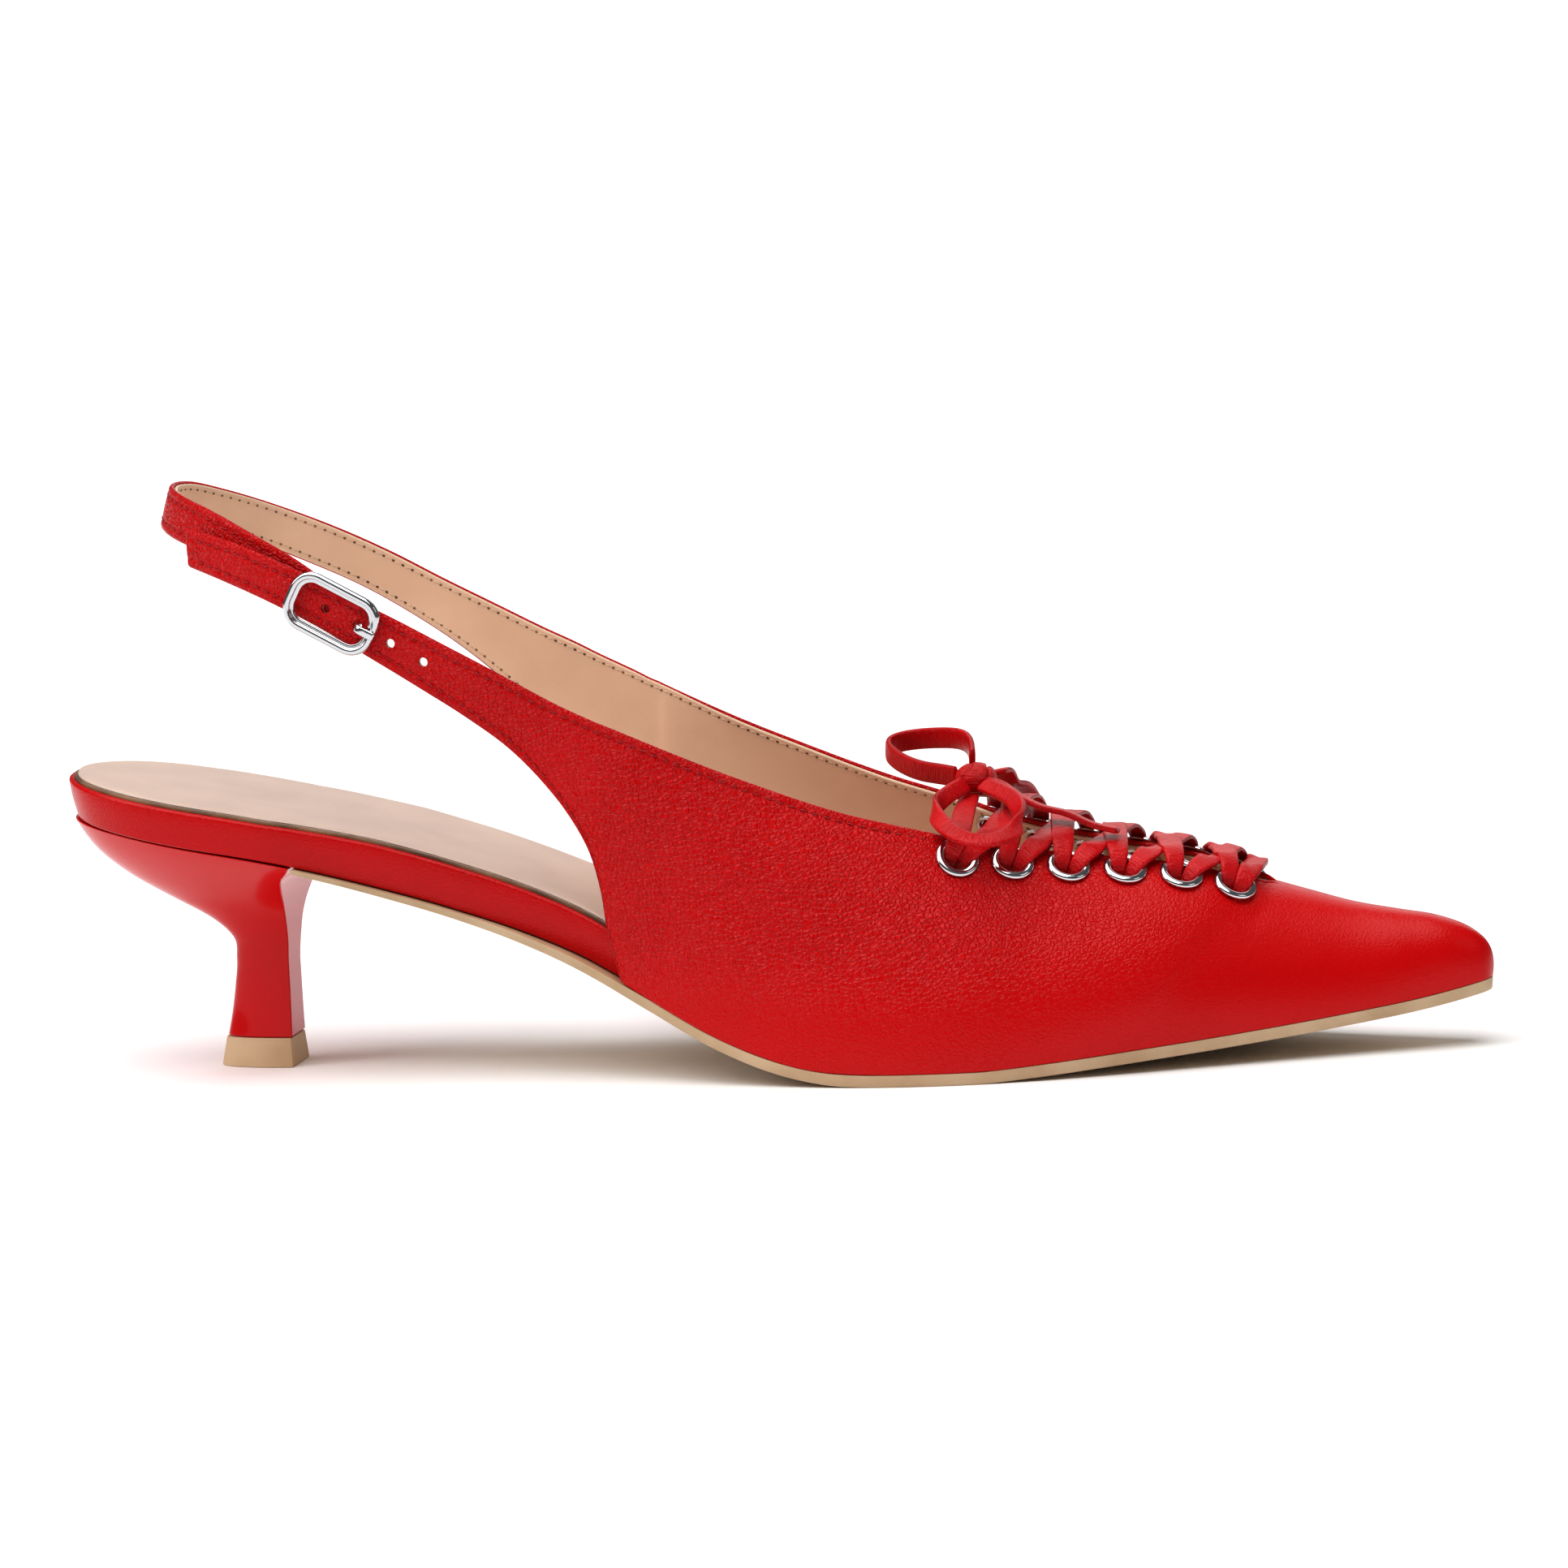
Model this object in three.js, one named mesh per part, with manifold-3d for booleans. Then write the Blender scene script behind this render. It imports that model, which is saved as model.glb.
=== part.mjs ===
// Right lace-up kitten-heel slingback, empty and buckled.
// Millimetres. +X runs from the heel to the toe, -Y is the outer (buckle) side, +Z is up from the floor.
import * as THREE from 'three'
import Module from 'manifold-3d'

const wasm = await Module()
wasm.setup()

// Main sizes
const LENGTH = 262          // seat back to toe tip
const BALL_HALF = 38.5      // sole's half width at the ball, outer side
const HEEL_RISE = 46.4      // underside of the board at the seat back, above its ball
const COLLAR_RISE = 64.3    // top edge of the sling strap above the board
const WALL = 1.6            // leather and lining together
const GAP = 0.3             // between pieces that meet

// Sole pieces
const SOLE = 2.0            // outsole at the ball
const SOLE_THIN = 1.0       // outsole at the heel breast
const RAND_SEAT = 7.1       // wrapped board at the seat
const RAND_ARCH = 8.2       // wrapped board under the arch
const RAND_TOE = 2.6        // board inside the vamp
const SOCK = 1.0            // insole sock
const SOCK_INSET = 1.8      // bare rim of the board round the sock
const RAND_UNDERCUT = 1.2   // the rand leans in under itself

// Heel
const TIP_HEIGHT = 5.4
const TIP_BACK_X = 25.6
const TIP_LENGTH = 15.0
const TIP_HALF = 6.3
const TIP_TAPER = 1.15      // how far the tip's top stands in from its bottom

// Lacing
const EYELETS = 6
const EYELET_PITCH = 10.5
const EYELET_FIRST = 7.7    // front eyelet to the end of the slit, along its edge
const EYELET_EDGE = 4.7     // eyelet centre to the edge of the slit
const EYELET_HOLE_R = 2.4
const EYELET_FLANGE_R = 4.0
const EYELET_FLANGE = 0.6
const EYELET_BARREL = 0.4
const EYELET_CLINCH_R = 3.5
const EYELET_CLINCH = 0.5
const LACE_WIDTH = 4.0
const LACE_THICK = 1.2
const LACE_ARCH = 0.25      // height of a crossing above the slit's edges, as a share of the slit's half width
const LACE_OVER = 1.0       // how much higher the strand that lies on top crosses
const LACE_SPREAD = 1.2     // two strands at one eyelet stand this far each side of its middle

// Knot of the bow, from the middle of the slit's back end
const KNOT_X = 169.5
const KNOT_RISE = 48.4      // above the board there
const KNOT_SIZE = [7.6, 6.6, 5.6]

// Buckle and its strap
const BUCKLE_X = 58.5       // middle of the buckle from the seat back
const BUCKLE_LENGTH = 18.2
const BUCKLE_WIDTH = 11.2
const BUCKLE_WIRE = 2
const BUCKLE_DEPTH = 1.5
const BUCKLE_CORNER = 4.4
const PRONG_WIDTH = 1.3
const PRONG_THICK = 0.9
const PRONG_SETBACK = 4.1   // prong's hole from the outside of the frame's front bar
const PUNCH_R = 0.85
const PUNCH_PITCH = 6.7
const PUNCH_COUNT = 4
const LAP_LENGTH = 10       // where the two straps are pressed together under the buckle
const LAP_WIDTH = 4.4
const LAP_DEPTH = 1.6

// Steps of the curved surfaces
const VAMP_STEPS = 2         // rows of the mesh for each row of the vamp's table
const COLUMNS = 6
const OUTLINE_STEPS = 2

// Underside of the board: x as a share of LENGTH, height above the ball as a share of HEEL_RISE
const BOARD = [
  [0.000, 1.000],
  [0.076, 0.920],
  [0.176, 0.815],
  [0.248, 0.709],
  [0.294, 0.631],
  [0.340, 0.539],
  [0.385, 0.429],
  [0.433, 0.282],
  [0.479, 0.144],
  [0.525, 0.047],
  [0.560, 0.008],
  [0.585, 0.000],
  [0.622, 0.000],
  [0.664, 0.000],
  [0.702, 0.015],
  [0.763, 0.043],
  [0.828, 0.075],
  [0.893, 0.114],
  [0.958, 0.166],
  [1.000, 0.216],
]
const BOARD_CORNERS = [11, 13]

// Outline of the sole: x as a share of LENGTH, outer and inner half width as shares of BALL_HALF
const OUTLINE = [
  [0.000, 0.000, 0.000],
  [0.006, 0.221, 0.221],
  [0.023, 0.421, 0.421],
  [0.050, 0.561, 0.561],
  [0.088, 0.647, 0.630],
  [0.145, 0.673, 0.605],
  [0.221, 0.655, 0.510],
  [0.298, 0.652, 0.450],
  [0.363, 0.691, 0.468],
  [0.428, 0.795, 0.570],
  [0.489, 0.904, 0.730],
  [0.546, 0.974, 0.865],
  [0.599, 1.000, 0.940],
  [0.645, 0.974, 0.940],
  [0.695, 0.896, 0.873],
  [0.752, 0.758, 0.743],
  [0.809, 0.597, 0.597],
  [0.866, 0.431, 0.447],
  [0.920, 0.283, 0.306],
  [0.958, 0.190, 0.223],
  [0.985, 0.119, 0.151],
  [0.997, 0.060, 0.075],
  [1.000, 0.000, 0.000],
]

// Sections of the vamp from the toe back to the quarters. station: row of OUTLINE that the section
// stands on; x, y, rise: its top on the ridge, the slit or the topline, as shares of LENGTH, BALL_HALF
// and COLLAR_RISE; heading: the way it faces, from the toe to the side; foot and footPull: its lean
// from its chord at the sole, in degrees, and how far that holds; dip and topPull: the same at its top,
// below level.
const VAMP = [
  [22, 0.981, 0.000, 0.166, 0, 39, 0.38, 19, 0.50],
  [21, 0.974, 0.000, 0.186, 22, 38, 0.37, 14, 0.48],
  [20, 0.960, 0.000, 0.216, 52, 38, 0.36, 6, 0.44],
  [19, 0.937, 0.000, 0.248, 76, 40, 0.36, 0, 0.40],
  [18, 0.909, 0.000, 0.285, 86, 40, 0.36, 0, 0.38],
  [17, 0.879, 0.000, 0.334, 90, 39, 0.37, 0, 0.36],
  [16, 0.853, 0.000, 0.377, 92, 38, 0.38, 1, 0.34],
  [15.5, 0.846, 0.080, 0.391, 104, 37, 0.38, 3, 0.28],
  [15, 0.826, 0.143, 0.423, 97, 36, 0.38, 7, 0.26],
  [14.5, 0.793, 0.202, 0.472, 92, 36, 0.38, 11, 0.26],
  [14, 0.756, 0.265, 0.511, 90, 35, 0.38, 16, 0.28],
  [13.5, 0.718, 0.346, 0.548, 90, 34, 0.37, 22, 0.29],
  [13, 0.680, 0.444, 0.588, 90, 32, 0.36, 30, 0.32],
  [12.5, 0.648, 0.540, 0.624, 90, 30, 0.35, 42, 0.31],
  [12, 0.622, 0.618, 0.656, 90, 27, 0.34, 52, 0.30],
  [11, 0.569, 0.708, 0.715, 90, 20, 0.33, 62, 0.30],
  [10, 0.508, 0.753, 0.754, 90, 14, 0.33, 73, 0.30],
  [9, 0.442, 0.779, 0.739, 90, 8, 0.33, 80, 0.30],
]
const SLIT_ROW = 6

// Sections of the quarters and straps behind the vamp: foot x, y, rise, then top x, y, rise, as shares
// of LENGTH, BALL_HALF and COLLAR_RISE, heading, and bow: how far the section bends from its chord.
const QUARTER_OUTER = [
  [0.412, 0.758, 0.000, 0.410, 0.782, 0.724, 90, 8],
  [0.405, 0.769, 0.122, 0.405, 0.784, 0.721, 90, 8],
  [0.402, 0.777, 0.230, 0.399, 0.784, 0.719, 90, 7],
  [0.395, 0.779, 0.332, 0.391, 0.784, 0.717, 90, 6],
  [0.382, 0.782, 0.411, 0.380, 0.784, 0.717, 90, 6],
  [0.365, 0.782, 0.475, 0.366, 0.784, 0.722, 90, 5],
  [0.342, 0.779, 0.535, 0.348, 0.782, 0.733, 90, 5],
  [0.314, 0.777, 0.580, 0.327, 0.777, 0.748, 90, 5],
  [0.283, 0.769, 0.621, 0.301, 0.772, 0.769, 90, 5],
  [0.248, 0.766, 0.670, 0.266, 0.769, 0.803, 90, 5],
  [0.210, 0.746, 0.721, 0.225, 0.758, 0.841, 91, 5],
  [0.174, 0.694, 0.757, 0.187, 0.722, 0.878, 98, 5],
  [0.139, 0.605, 0.785, 0.148, 0.633, 0.903, 112, 5],
  [0.112, 0.505, 0.802, 0.111, 0.505, 0.913, 122, 5],
]
const QUARTER_INNER = [
  [0.412, 0.542, 0.000, 0.410, 0.782, 0.729, 90, 9],
  [0.399, 0.602, 0.085, 0.404, 0.784, 0.728, 90, 9],
  [0.389, 0.650, 0.173, 0.397, 0.784, 0.725, 90, 8],
  [0.377, 0.690, 0.258, 0.388, 0.784, 0.726, 90, 7],
  [0.362, 0.718, 0.335, 0.376, 0.784, 0.727, 90, 6],
  [0.343, 0.738, 0.409, 0.362, 0.782, 0.730, 90, 5],
  [0.320, 0.748, 0.478, 0.344, 0.779, 0.739, 90, 5],
  [0.293, 0.750, 0.550, 0.321, 0.773, 0.750, 90, 5],
  [0.262, 0.743, 0.620, 0.290, 0.760, 0.775, 90, 5],
  [0.229, 0.727, 0.679, 0.252, 0.740, 0.812, 90, 5],
  [0.193, 0.691, 0.733, 0.213, 0.709, 0.858, 97, 5],
  [0.157, 0.613, 0.778, 0.174, 0.642, 0.901, 112, 5],
  [0.124, 0.478, 0.822, 0.135, 0.514, 0.945, 128, 5],
  [0.099, 0.312, 0.854, 0.108, 0.332, 0.980, 146, 5],
  [0.081, 0.151, 0.873, 0.090, 0.158, 1.001, 163, 5],
  [0.076, 0.000, 0.877, 0.085, 0.000, 1.003, 180, 5],
  [0.080, -0.151, 0.873, 0.089, -0.161, 0.999, 197, 5],
  [0.094, -0.312, 0.862, 0.105, -0.332, 0.988, 214, 5],
  [0.119, -0.452, 0.846, 0.129, -0.468, 0.971, 231, 5],
  [0.151, -0.566, 0.815, 0.160, -0.582, 0.935, 246, 5],
  [0.184, -0.640, 0.765, 0.195, -0.650, 0.890, 258, 5],
  [0.214, -0.675, 0.712, 0.228, -0.683, 0.828, 264, 5],
  [0.231, -0.688, 0.682, 0.244, -0.693, 0.797, 266, 5],
]

// Sections of the heel down from the board: z as a share of the height between tip and board, then back
// x and front x as shares of LENGTH, outer and inner half width as shares of BALL_HALF, fullness of the
// back's curve, and how much of the board's slope the section still has.
const HEEL = [
  [1.000, 0.004, 0.177, 0.650, 0.560, 2.5, 1.00],
  [0.965, 0.008, 0.174, 0.600, 0.520, 2.4, 0.86],
  [0.900, 0.018, 0.166, 0.500, 0.440, 2.3, 0.68],
  [0.820, 0.039, 0.161, 0.375, 0.330, 2.2, 0.46],
  [0.740, 0.065, 0.158, 0.265, 0.245, 2.1, 0.28],
  [0.650, 0.092, 0.156, 0.185, 0.180, 2.1, 0.14],
  [0.540, 0.110, 0.155, 0.138, 0.138, 2.0, 0.05],
  [0.420, 0.112, 0.154, 0.123, 0.123, 2.0, 0.00],
  [0.280, 0.110, 0.154, 0.122, 0.122, 2.0, 0.00],
  [0.140, 0.107, 0.154, 0.127, 0.127, 2.0, 0.00],
  [0.000, 0.103, 0.154, 0.134, 0.134, 2.0, 0.00],
]
const BREAST_X = HEEL[0][2] * LENGTH

// Lace between two edges of the slit: share of the way across, height as a share of the crossing's, width
// as a share of LACE_WIDTH
const STRAND = [
  [0.00, 0.12, 0.70],
  [0.16, 0.68, 1.00],
  [0.33, 0.92, 1.00],
  [0.50, 1.00, 1.00],
  [0.67, 0.92, 1.00],
  [0.84, 0.68, 1.00],
  [1.00, 0.12, 0.70],
]
const STRAND_END = 0.6      // width at the eyelet, as a share of LACE_WIDTH

// Curve through points by cubic pieces. knots: a rising value at each point; corners: points where the
// curve may turn sharply, with a one-sided direction on each side.
function curveThrough(points, knots, corners, at) {
  const last = points.length - 1
  let k = 0
  while (k < last - 1 && at > knots[k + 1]) k += 1
  const slope = (i, j) => points[i].map((value, axis) => (points[j][axis] - value) / (knots[j] - knots[i]))
  const tangent = (i, side) => {
    if (i === 0) return slope(0, 1)
    if (i === last) return slope(last - 1, last)
    if (corners.includes(i)) return side < 0 ? slope(i - 1, i) : slope(i, i + 1)
    const before = slope(i - 1, i)
    const after = slope(i, i + 1)
    const share = (knots[i] - knots[i - 1]) / (knots[i + 1] - knots[i - 1])
    return before.map((value, axis) => value * (1 - share) + after[axis] * share)
  }
  const span = knots[k + 1] - knots[k]
  const t = (at - knots[k]) / span
  const from = tangent(k, 1)
  const to = tangent(k + 1, -1)
  return points[k].map((value, axis) => {
    const next = points[k + 1][axis]
    return value * (2 * t ** 3 - 3 * t ** 2 + 1) + next * (3 * t ** 2 - 2 * t ** 3)
      + span * (from[axis] * (t ** 3 - 2 * t ** 2 + t) + to[axis] * (t ** 3 - t ** 2))
  })
}

const range = (count) => Array.from({ length: count }, (_, i) => i)
const mix = (a, b, t) => a + (b - a) * t
const clamp01 = (t) => Math.min(1, Math.max(0, t))
const vec = (x, y, z) => new THREE.Vector3(x, y, z)

// Height of the board's underside at a distance from the seat back
const boardPoints = BOARD.map(([x, z]) => [SOLE + z * HEEL_RISE])
const boardKnots = BOARD.map(([x]) => x * LENGTH)
function boardHeight(x) {
  const inside = Math.min(LENGTH, Math.max(0, x))
  return curveThrough(boardPoints, boardKnots, BOARD_CORNERS, inside)[0]
}

// Point of the sole's outline at a station, side -1 outer or 1 inner, moved in by an inset
const OUTLINE_LAST = OUTLINE.length - 1
function outlineAt(side, station) {
  const row = ([x, outer, inner]) => [x * LENGTH, (side < 0 ? outer : inner) * BALL_HALF]
  const mirror = ([x, y]) => [x, -y]
  const points = OUTLINE.map(row)
  const around = [mirror(points[1]), ...points, mirror(points[OUTLINE_LAST - 1])]
  const knots = [0]
  for (let i = 1; i < around.length; i += 1) {
    knots.push(knots[i - 1] + Math.hypot(around[i][0] - around[i - 1][0], around[i][1] - around[i - 1][1]))
  }
  const low = Math.min(Math.floor(station), OUTLINE_LAST - 1)
  const at = mix(knots[low + 1], knots[low + 2], station - low)
  const [x, y] = curveThrough(around, knots, [], at)
  return [x, side * y]
}
function outlineInset(side, station, inset) {
  const step = 0.02
  const [x0, y0] = outlineAt(side, Math.max(0, station - step))
  const [x1, y1] = outlineAt(side, Math.min(OUTLINE_LAST, station + step))
  const [x, y] = outlineAt(side, station)
  if (station <= 0) return [x + inset, 0]
  if (station >= OUTLINE_LAST) return [x - inset * 1.4, 0]
  const length = Math.hypot(x1 - x0, y1 - y0)
  return [x + side * inset * (y1 - y0) / length, y - side * inset * (x1 - x0) / length]
}
function stationAt(side, x) {
  let low = 0
  let high = OUTLINE_LAST
  for (let i = 0; i < 40; i += 1) {
    const middle = (low + high) / 2
    if (outlineAt(side, middle)[0] < x) low = middle
    else high = middle
  }
  return low
}

// Closed mesh from points and triangles: near points are merged, flat triangles dropped, faces outward
function closedMesh(points, triangles) {
  const keys = new Map()
  const kept = []
  const index = points.map((p) => {
    const key = [p.x, p.y, p.z].map((value) => Math.round(value * 1000)).join()
    if (!keys.has(key)) {
      keys.set(key, kept.length)
      kept.push(p)
    }
    return keys.get(key)
  })
  let faces = triangles.map((t) => t.map((i) => index[i]))
  faces = faces.filter(([a, b, c]) => a !== b && b !== c && c !== a)
  const volume = faces.reduce((sum, [a, b, c]) => sum + kept[a].dot(vec(0, 0, 0).crossVectors(kept[b], kept[c])), 0)
  if (volume < 0) faces = faces.map(([a, b, c]) => [a, c, b])
  const geometry = new THREE.BufferGeometry()
  geometry.setAttribute('position', new THREE.Float32BufferAttribute(kept.flatMap((p) => [p.x, p.y, p.z]), 3))
  geometry.setIndex(faces.flat())
  return geometry
}

// Solid through a stack of rings of equal length. With halves, each ring runs up one side and back down
// the other, and the ends are closed by strips between the sides.
function skin(rings) {
  const n = rings[0].length
  const triangles = []
  const quad = (a, b, c, d) => triangles.push([a, b, c], [a, c, d])
  for (let r = 0; r < rings.length - 1; r += 1) {
    for (let i = 0; i < n; i += 1) {
      const j = (i + 1) % n
      quad(r * n + i, r * n + j, (r + 1) * n + j, (r + 1) * n + i)
    }
  }
  const top = (rings.length - 1) * n
  for (let i = 0; i < n / 2 - 1; i += 1) {
    quad(i, n - 1 - i, n - 2 - i, i + 1)
    quad(top + i, top + i + 1, top + n - 2 - i, top + n - 1 - i)
  }
  return closedMesh(rings.flat(), triangles)
}

function toSolid(geometry) {
  const vertProperties = Float32Array.from(geometry.getAttribute('position').array)
  const triVerts = Uint32Array.from(geometry.getIndex().array)
  return new wasm.Manifold(new wasm.Mesh({ numProp: 3, vertProperties, triVerts }))
}
function fromSolid(solid) {
  const { vertProperties, triVerts } = solid.getMesh()
  const geometry = new THREE.BufferGeometry()
  geometry.setAttribute('position', new THREE.Float32BufferAttribute(vertProperties, 3))
  geometry.setIndex(Array.from(triVerts))
  return geometry
}
function welded(geometry) {
  const flat = geometry.index ? geometry.toNonIndexed() : geometry
  const position = flat.getAttribute('position')
  const points = range(position.count).map((i) => vec(position.getX(i), position.getY(i), position.getZ(i)))
  return closedMesh(points, range(position.count / 3).map((i) => [3 * i, 3 * i + 1, 3 * i + 2]))
}

// One plate of the sole between two stations, from a bottom height to a top height, with softened edges
function plate({ from, to, inset, bottom, top, soften, undercut = soften }) {
  const steps = Math.round((to - from) * OUTLINE_STEPS)
  const ring = (extra, height) => {
    const side = (s) => range(steps + 1).map((i) => {
      const station = mix(from, to, i / steps)
      const [x, y] = outlineInset(s, station, inset(outlineAt(s, station)[0]) + extra)
      return vec(x, y, height(x))
    })
    return [...side(-1), ...side(1).reverse()]
  }
  return skin([
    ring(undercut, bottom),
    ring(undercut * 0.4, (x) => bottom(x) + soften),
    ring(0, (x) => top(x) - soften),
    ring(soften, top),
  ])
}

const soleThickness = (x) => mix(SOLE_THIN, SOLE, clamp01((x - BREAST_X) / (BREAST_X * 1.2)))
const randThickness = (x) => {
  const arch = mix(RAND_SEAT, RAND_ARCH, clamp01((x / LENGTH - 0.16) / 0.08))
  return mix(arch, RAND_TOE, clamp01((x / LENGTH - 0.40) / 0.16))
}
const QUARTER_FRONT_X = QUARTER_OUTER[0][0] * LENGTH
const randInset = (x) => (WALL + GAP * 2) * clamp01((x - QUARTER_FRONT_X * 0.72) / (QUARTER_FRONT_X * 0.2))

function outsoleGeometry() {
  return plate({
    from: stationAt(-1, BREAST_X + GAP * 2),
    to: OUTLINE_LAST,
    inset: () => 0,
    bottom: (x) => boardHeight(x) - soleThickness(x),
    top: (x) => boardHeight(x) - GAP * 0.5,
    soften: 0.4,
  })
}
function randGeometry() {
  return plate({
    from: 0,
    to: OUTLINE_LAST,
    inset: randInset,
    bottom: (x) => boardHeight(x) + GAP * 0.5,
    top: (x) => boardHeight(x) + randThickness(x),
    soften: 0.8,
    undercut: RAND_UNDERCUT,
  })
}
function insoleGeometry() {
  return plate({
    from: 0,
    to: OUTLINE_LAST,
    inset: (x) => randInset(x) + SOCK_INSET,
    bottom: (x) => boardHeight(x) + randThickness(x) + GAP,
    top: (x) => boardHeight(x) + randThickness(x) + GAP + SOCK,
    soften: 0.3,
  })
}

// D-shaped ring of the heel: flat in front, round behind
function heelRing(backX, frontX, outerHalf, innerHalf, fullness, height) {
  const steps = 9
  const side = (s) => range(steps + 1).map((i) => {
    const along = (i / steps) ** 1.6
    const x = mix(backX, frontX, along)
    const half = s < 0 ? outerHalf : innerHalf
    const y = s * half * (1 - (1 - along) ** fullness) ** (1 / fullness)
    return vec(x, y, height(x))
  })
  return [...side(-1), ...side(1).reverse()]
}
function heelGeometry() {
  const boardAtBreast = boardHeight(BREAST_X)
  const bottom = TIP_HEIGHT + GAP
  const top = boardAtBreast - GAP * 0.5
  return skin(HEEL.map(([z, backX, frontX, outer, inner, fullness, slope]) => {
    const height = (x) => mix(bottom, top, z) + slope * (boardHeight(x) - boardAtBreast)
    return heelRing(backX * LENGTH, frontX * LENGTH, outer * BALL_HALF, inner * BALL_HALF, fullness, height)
  }))
}
function heelTipGeometry() {
  const ring = (inset, z) => heelRing(
    TIP_BACK_X + inset,
    TIP_BACK_X + TIP_LENGTH - inset * 0.3,
    TIP_HALF - inset,
    TIP_HALF - inset,
    2.2,
    () => z,
  )
  return skin([ring(0, 0), ring(TIP_TAPER, TIP_HEIGHT)])
}

// The four points that steer one section of the upper, foot to top
function facing(heading, side) {
  const angle = THREE.MathUtils.degToRad(heading)
  return vec(Math.cos(angle), side * Math.sin(angle), 0)
}
function leanFrom(chord, outside, degrees) {
  const away = outside.clone().addScaledVector(chord, -outside.dot(chord)).normalize()
  const angle = THREE.MathUtils.degToRad(degrees)
  return chord.clone().multiplyScalar(Math.cos(angle)).addScaledVector(away, Math.sin(angle))
}
function vampSection(side, [station, x, y, rise, heading, foot, footPull, dip, topPull]) {
  const [footX, footY] = outlineAt(side, station)
  const start = vec(footX, footY, boardHeight(footX) + GAP)
  const topX = x * LENGTH
  const end = vec(topX, side * y * BALL_HALF, boardHeight(topX) + rise * COLLAR_RISE)
  const chord = end.clone().sub(start)
  const length = chord.length()
  chord.normalize()
  const outside = facing(heading, side)
  const fall = THREE.MathUtils.degToRad(dip)
  const shoulder = outside.clone().multiplyScalar(Math.cos(fall)).add(vec(0, 0, -Math.sin(fall)))
  return [
    start,
    start.clone().addScaledVector(leanFrom(chord, outside, foot), footPull * length),
    end.clone().addScaledVector(shoulder, topPull * length),
    end,
  ]
}
function quarterSection(side, [x0, y0, rise0, x1, y1, rise1, heading, bow]) {
  const place = (x, y, rise) => {
    return vec(x * LENGTH, side * y * BALL_HALF, boardHeight(x * LENGTH) + Math.max(rise * COLLAR_RISE, GAP))
  }
  const start = place(x0, y0, rise0)
  const end = place(x1, y1, rise1)
  const chord = end.clone().sub(start)
  const length = chord.length()
  chord.normalize()
  const outside = facing(heading, side)
  const third = length / 3
  return [
    start,
    start.clone().addScaledVector(leanFrom(chord, outside, bow), third),
    end.clone().addScaledVector(leanFrom(chord.clone().negate(), outside, bow), third),
    end,
  ]
}

// One side of the upper: sections with a knot each, from the toe to the strap's end
function buildSide(side, quarter) {
  const sections = [
    ...VAMP.map((row) => vampSection(side, row)),
    ...quarter.map((row) => quarterSection(side, row)),
  ]
  return { side, sections, knots: [0] }
}
const outerSide = buildSide(-1, QUARTER_OUTER)
const innerSide = buildSide(1, QUARTER_INNER)
function spacing(half, i) {
  const [a, b] = [half.sections[i - 1], half.sections[i]]
  return (a[0].distanceTo(b[0]) + a[3].distanceTo(b[3])) / 2
}
for (const half of [outerSide, innerSide]) {
  for (let i = 1; i < half.sections.length; i += 1) {
    const shared = i < VAMP.length
    const step = shared ? (spacing(outerSide, i) + spacing(innerSide, i)) / 2 : spacing(half, i)
    half.knots.push(half.knots[i - 1] + step)
  }
}

// Steering points between the table's rows; the foot may turn a corner at the quarter, the top at the slit
function sectionAt(half, row) {
  const low = Math.min(Math.floor(row), half.knots.length - 2)
  const at = mix(half.knots[low], half.knots[low + 1], row - low)
  const corners = [[VAMP.length], [VAMP.length], [], [SLIT_ROW]]
  return corners.map((turns, i) => {
    const points = half.sections.map((section) => section[i].toArray())
    return vec(...curveThrough(points, half.knots, turns, at))
  })
}
function onSection([a, b, c, d], t) {
  const s = 1 - t
  return a.clone().multiplyScalar(s ** 3)
    .addScaledVector(b, 3 * s ** 2 * t)
    .addScaledVector(c, 3 * s * t ** 2)
    .addScaledVector(d, t ** 3)
}
function surfaceAt(half, row, t) {
  return onSection(sectionAt(half, row), t)
}
function normalAt(half, row, t) {
  const step = 0.01
  const last = half.knots.length - 1
  const along = surfaceAt(half, Math.min(last, row + step), t).sub(surfaceAt(half, Math.max(0, row - step), t))
  const up = surfaceAt(half, row, Math.min(1, t + step)).sub(surfaceAt(half, row, Math.max(0, t - step)))
  return along.cross(up).multiplyScalar(half.side).normalize()
}

// The upper: both sides share the toe's middle row and the ridge in front of the slit
function upperShell() {
  const points = []
  const faces = []
  const rims = []
  for (const half of [outerSide, innerSide]) {
    const vampRows = range(VAMP.length * VAMP_STEPS).map((i) => i / VAMP_STEPS)
    const allRows = [...vampRows, ...range(half.knots.length - VAMP.length).map((i) => VAMP.length + i)]
    const rows = allRows.length - 1
    const start = points.length
    const at = (i, j) => start + i * (COLUMNS + 1) + j
    for (const row of allRows) {
      const section = sectionAt(half, row)
      for (let j = 0; j <= COLUMNS; j += 1) points.push(onSection(section, j / COLUMNS))
    }
    const face = (a, b, c) => faces.push(half.side < 0 ? [a, b, c] : [a, c, b])
    const rim = (a, b) => rims.push(half.side < 0 ? [a, b] : [b, a])
    for (let i = 0; i < rows; i += 1) {
      for (let j = 0; j < COLUMNS; j += 1) {
        face(at(i, j), at(i, j + 1), at(i + 1, j + 1))
        face(at(i, j), at(i + 1, j + 1), at(i + 1, j))
      }
      rim(at(i, 0), at(i + 1, 0))
      if (i >= SLIT_ROW * VAMP_STEPS) rim(at(i + 1, COLUMNS), at(i, COLUMNS))
    }
    for (let j = 0; j < COLUMNS; j += 1) rim(at(rows, j), at(rows, j + 1))
  }
  return thicken(points, faces, rims)
}

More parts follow.
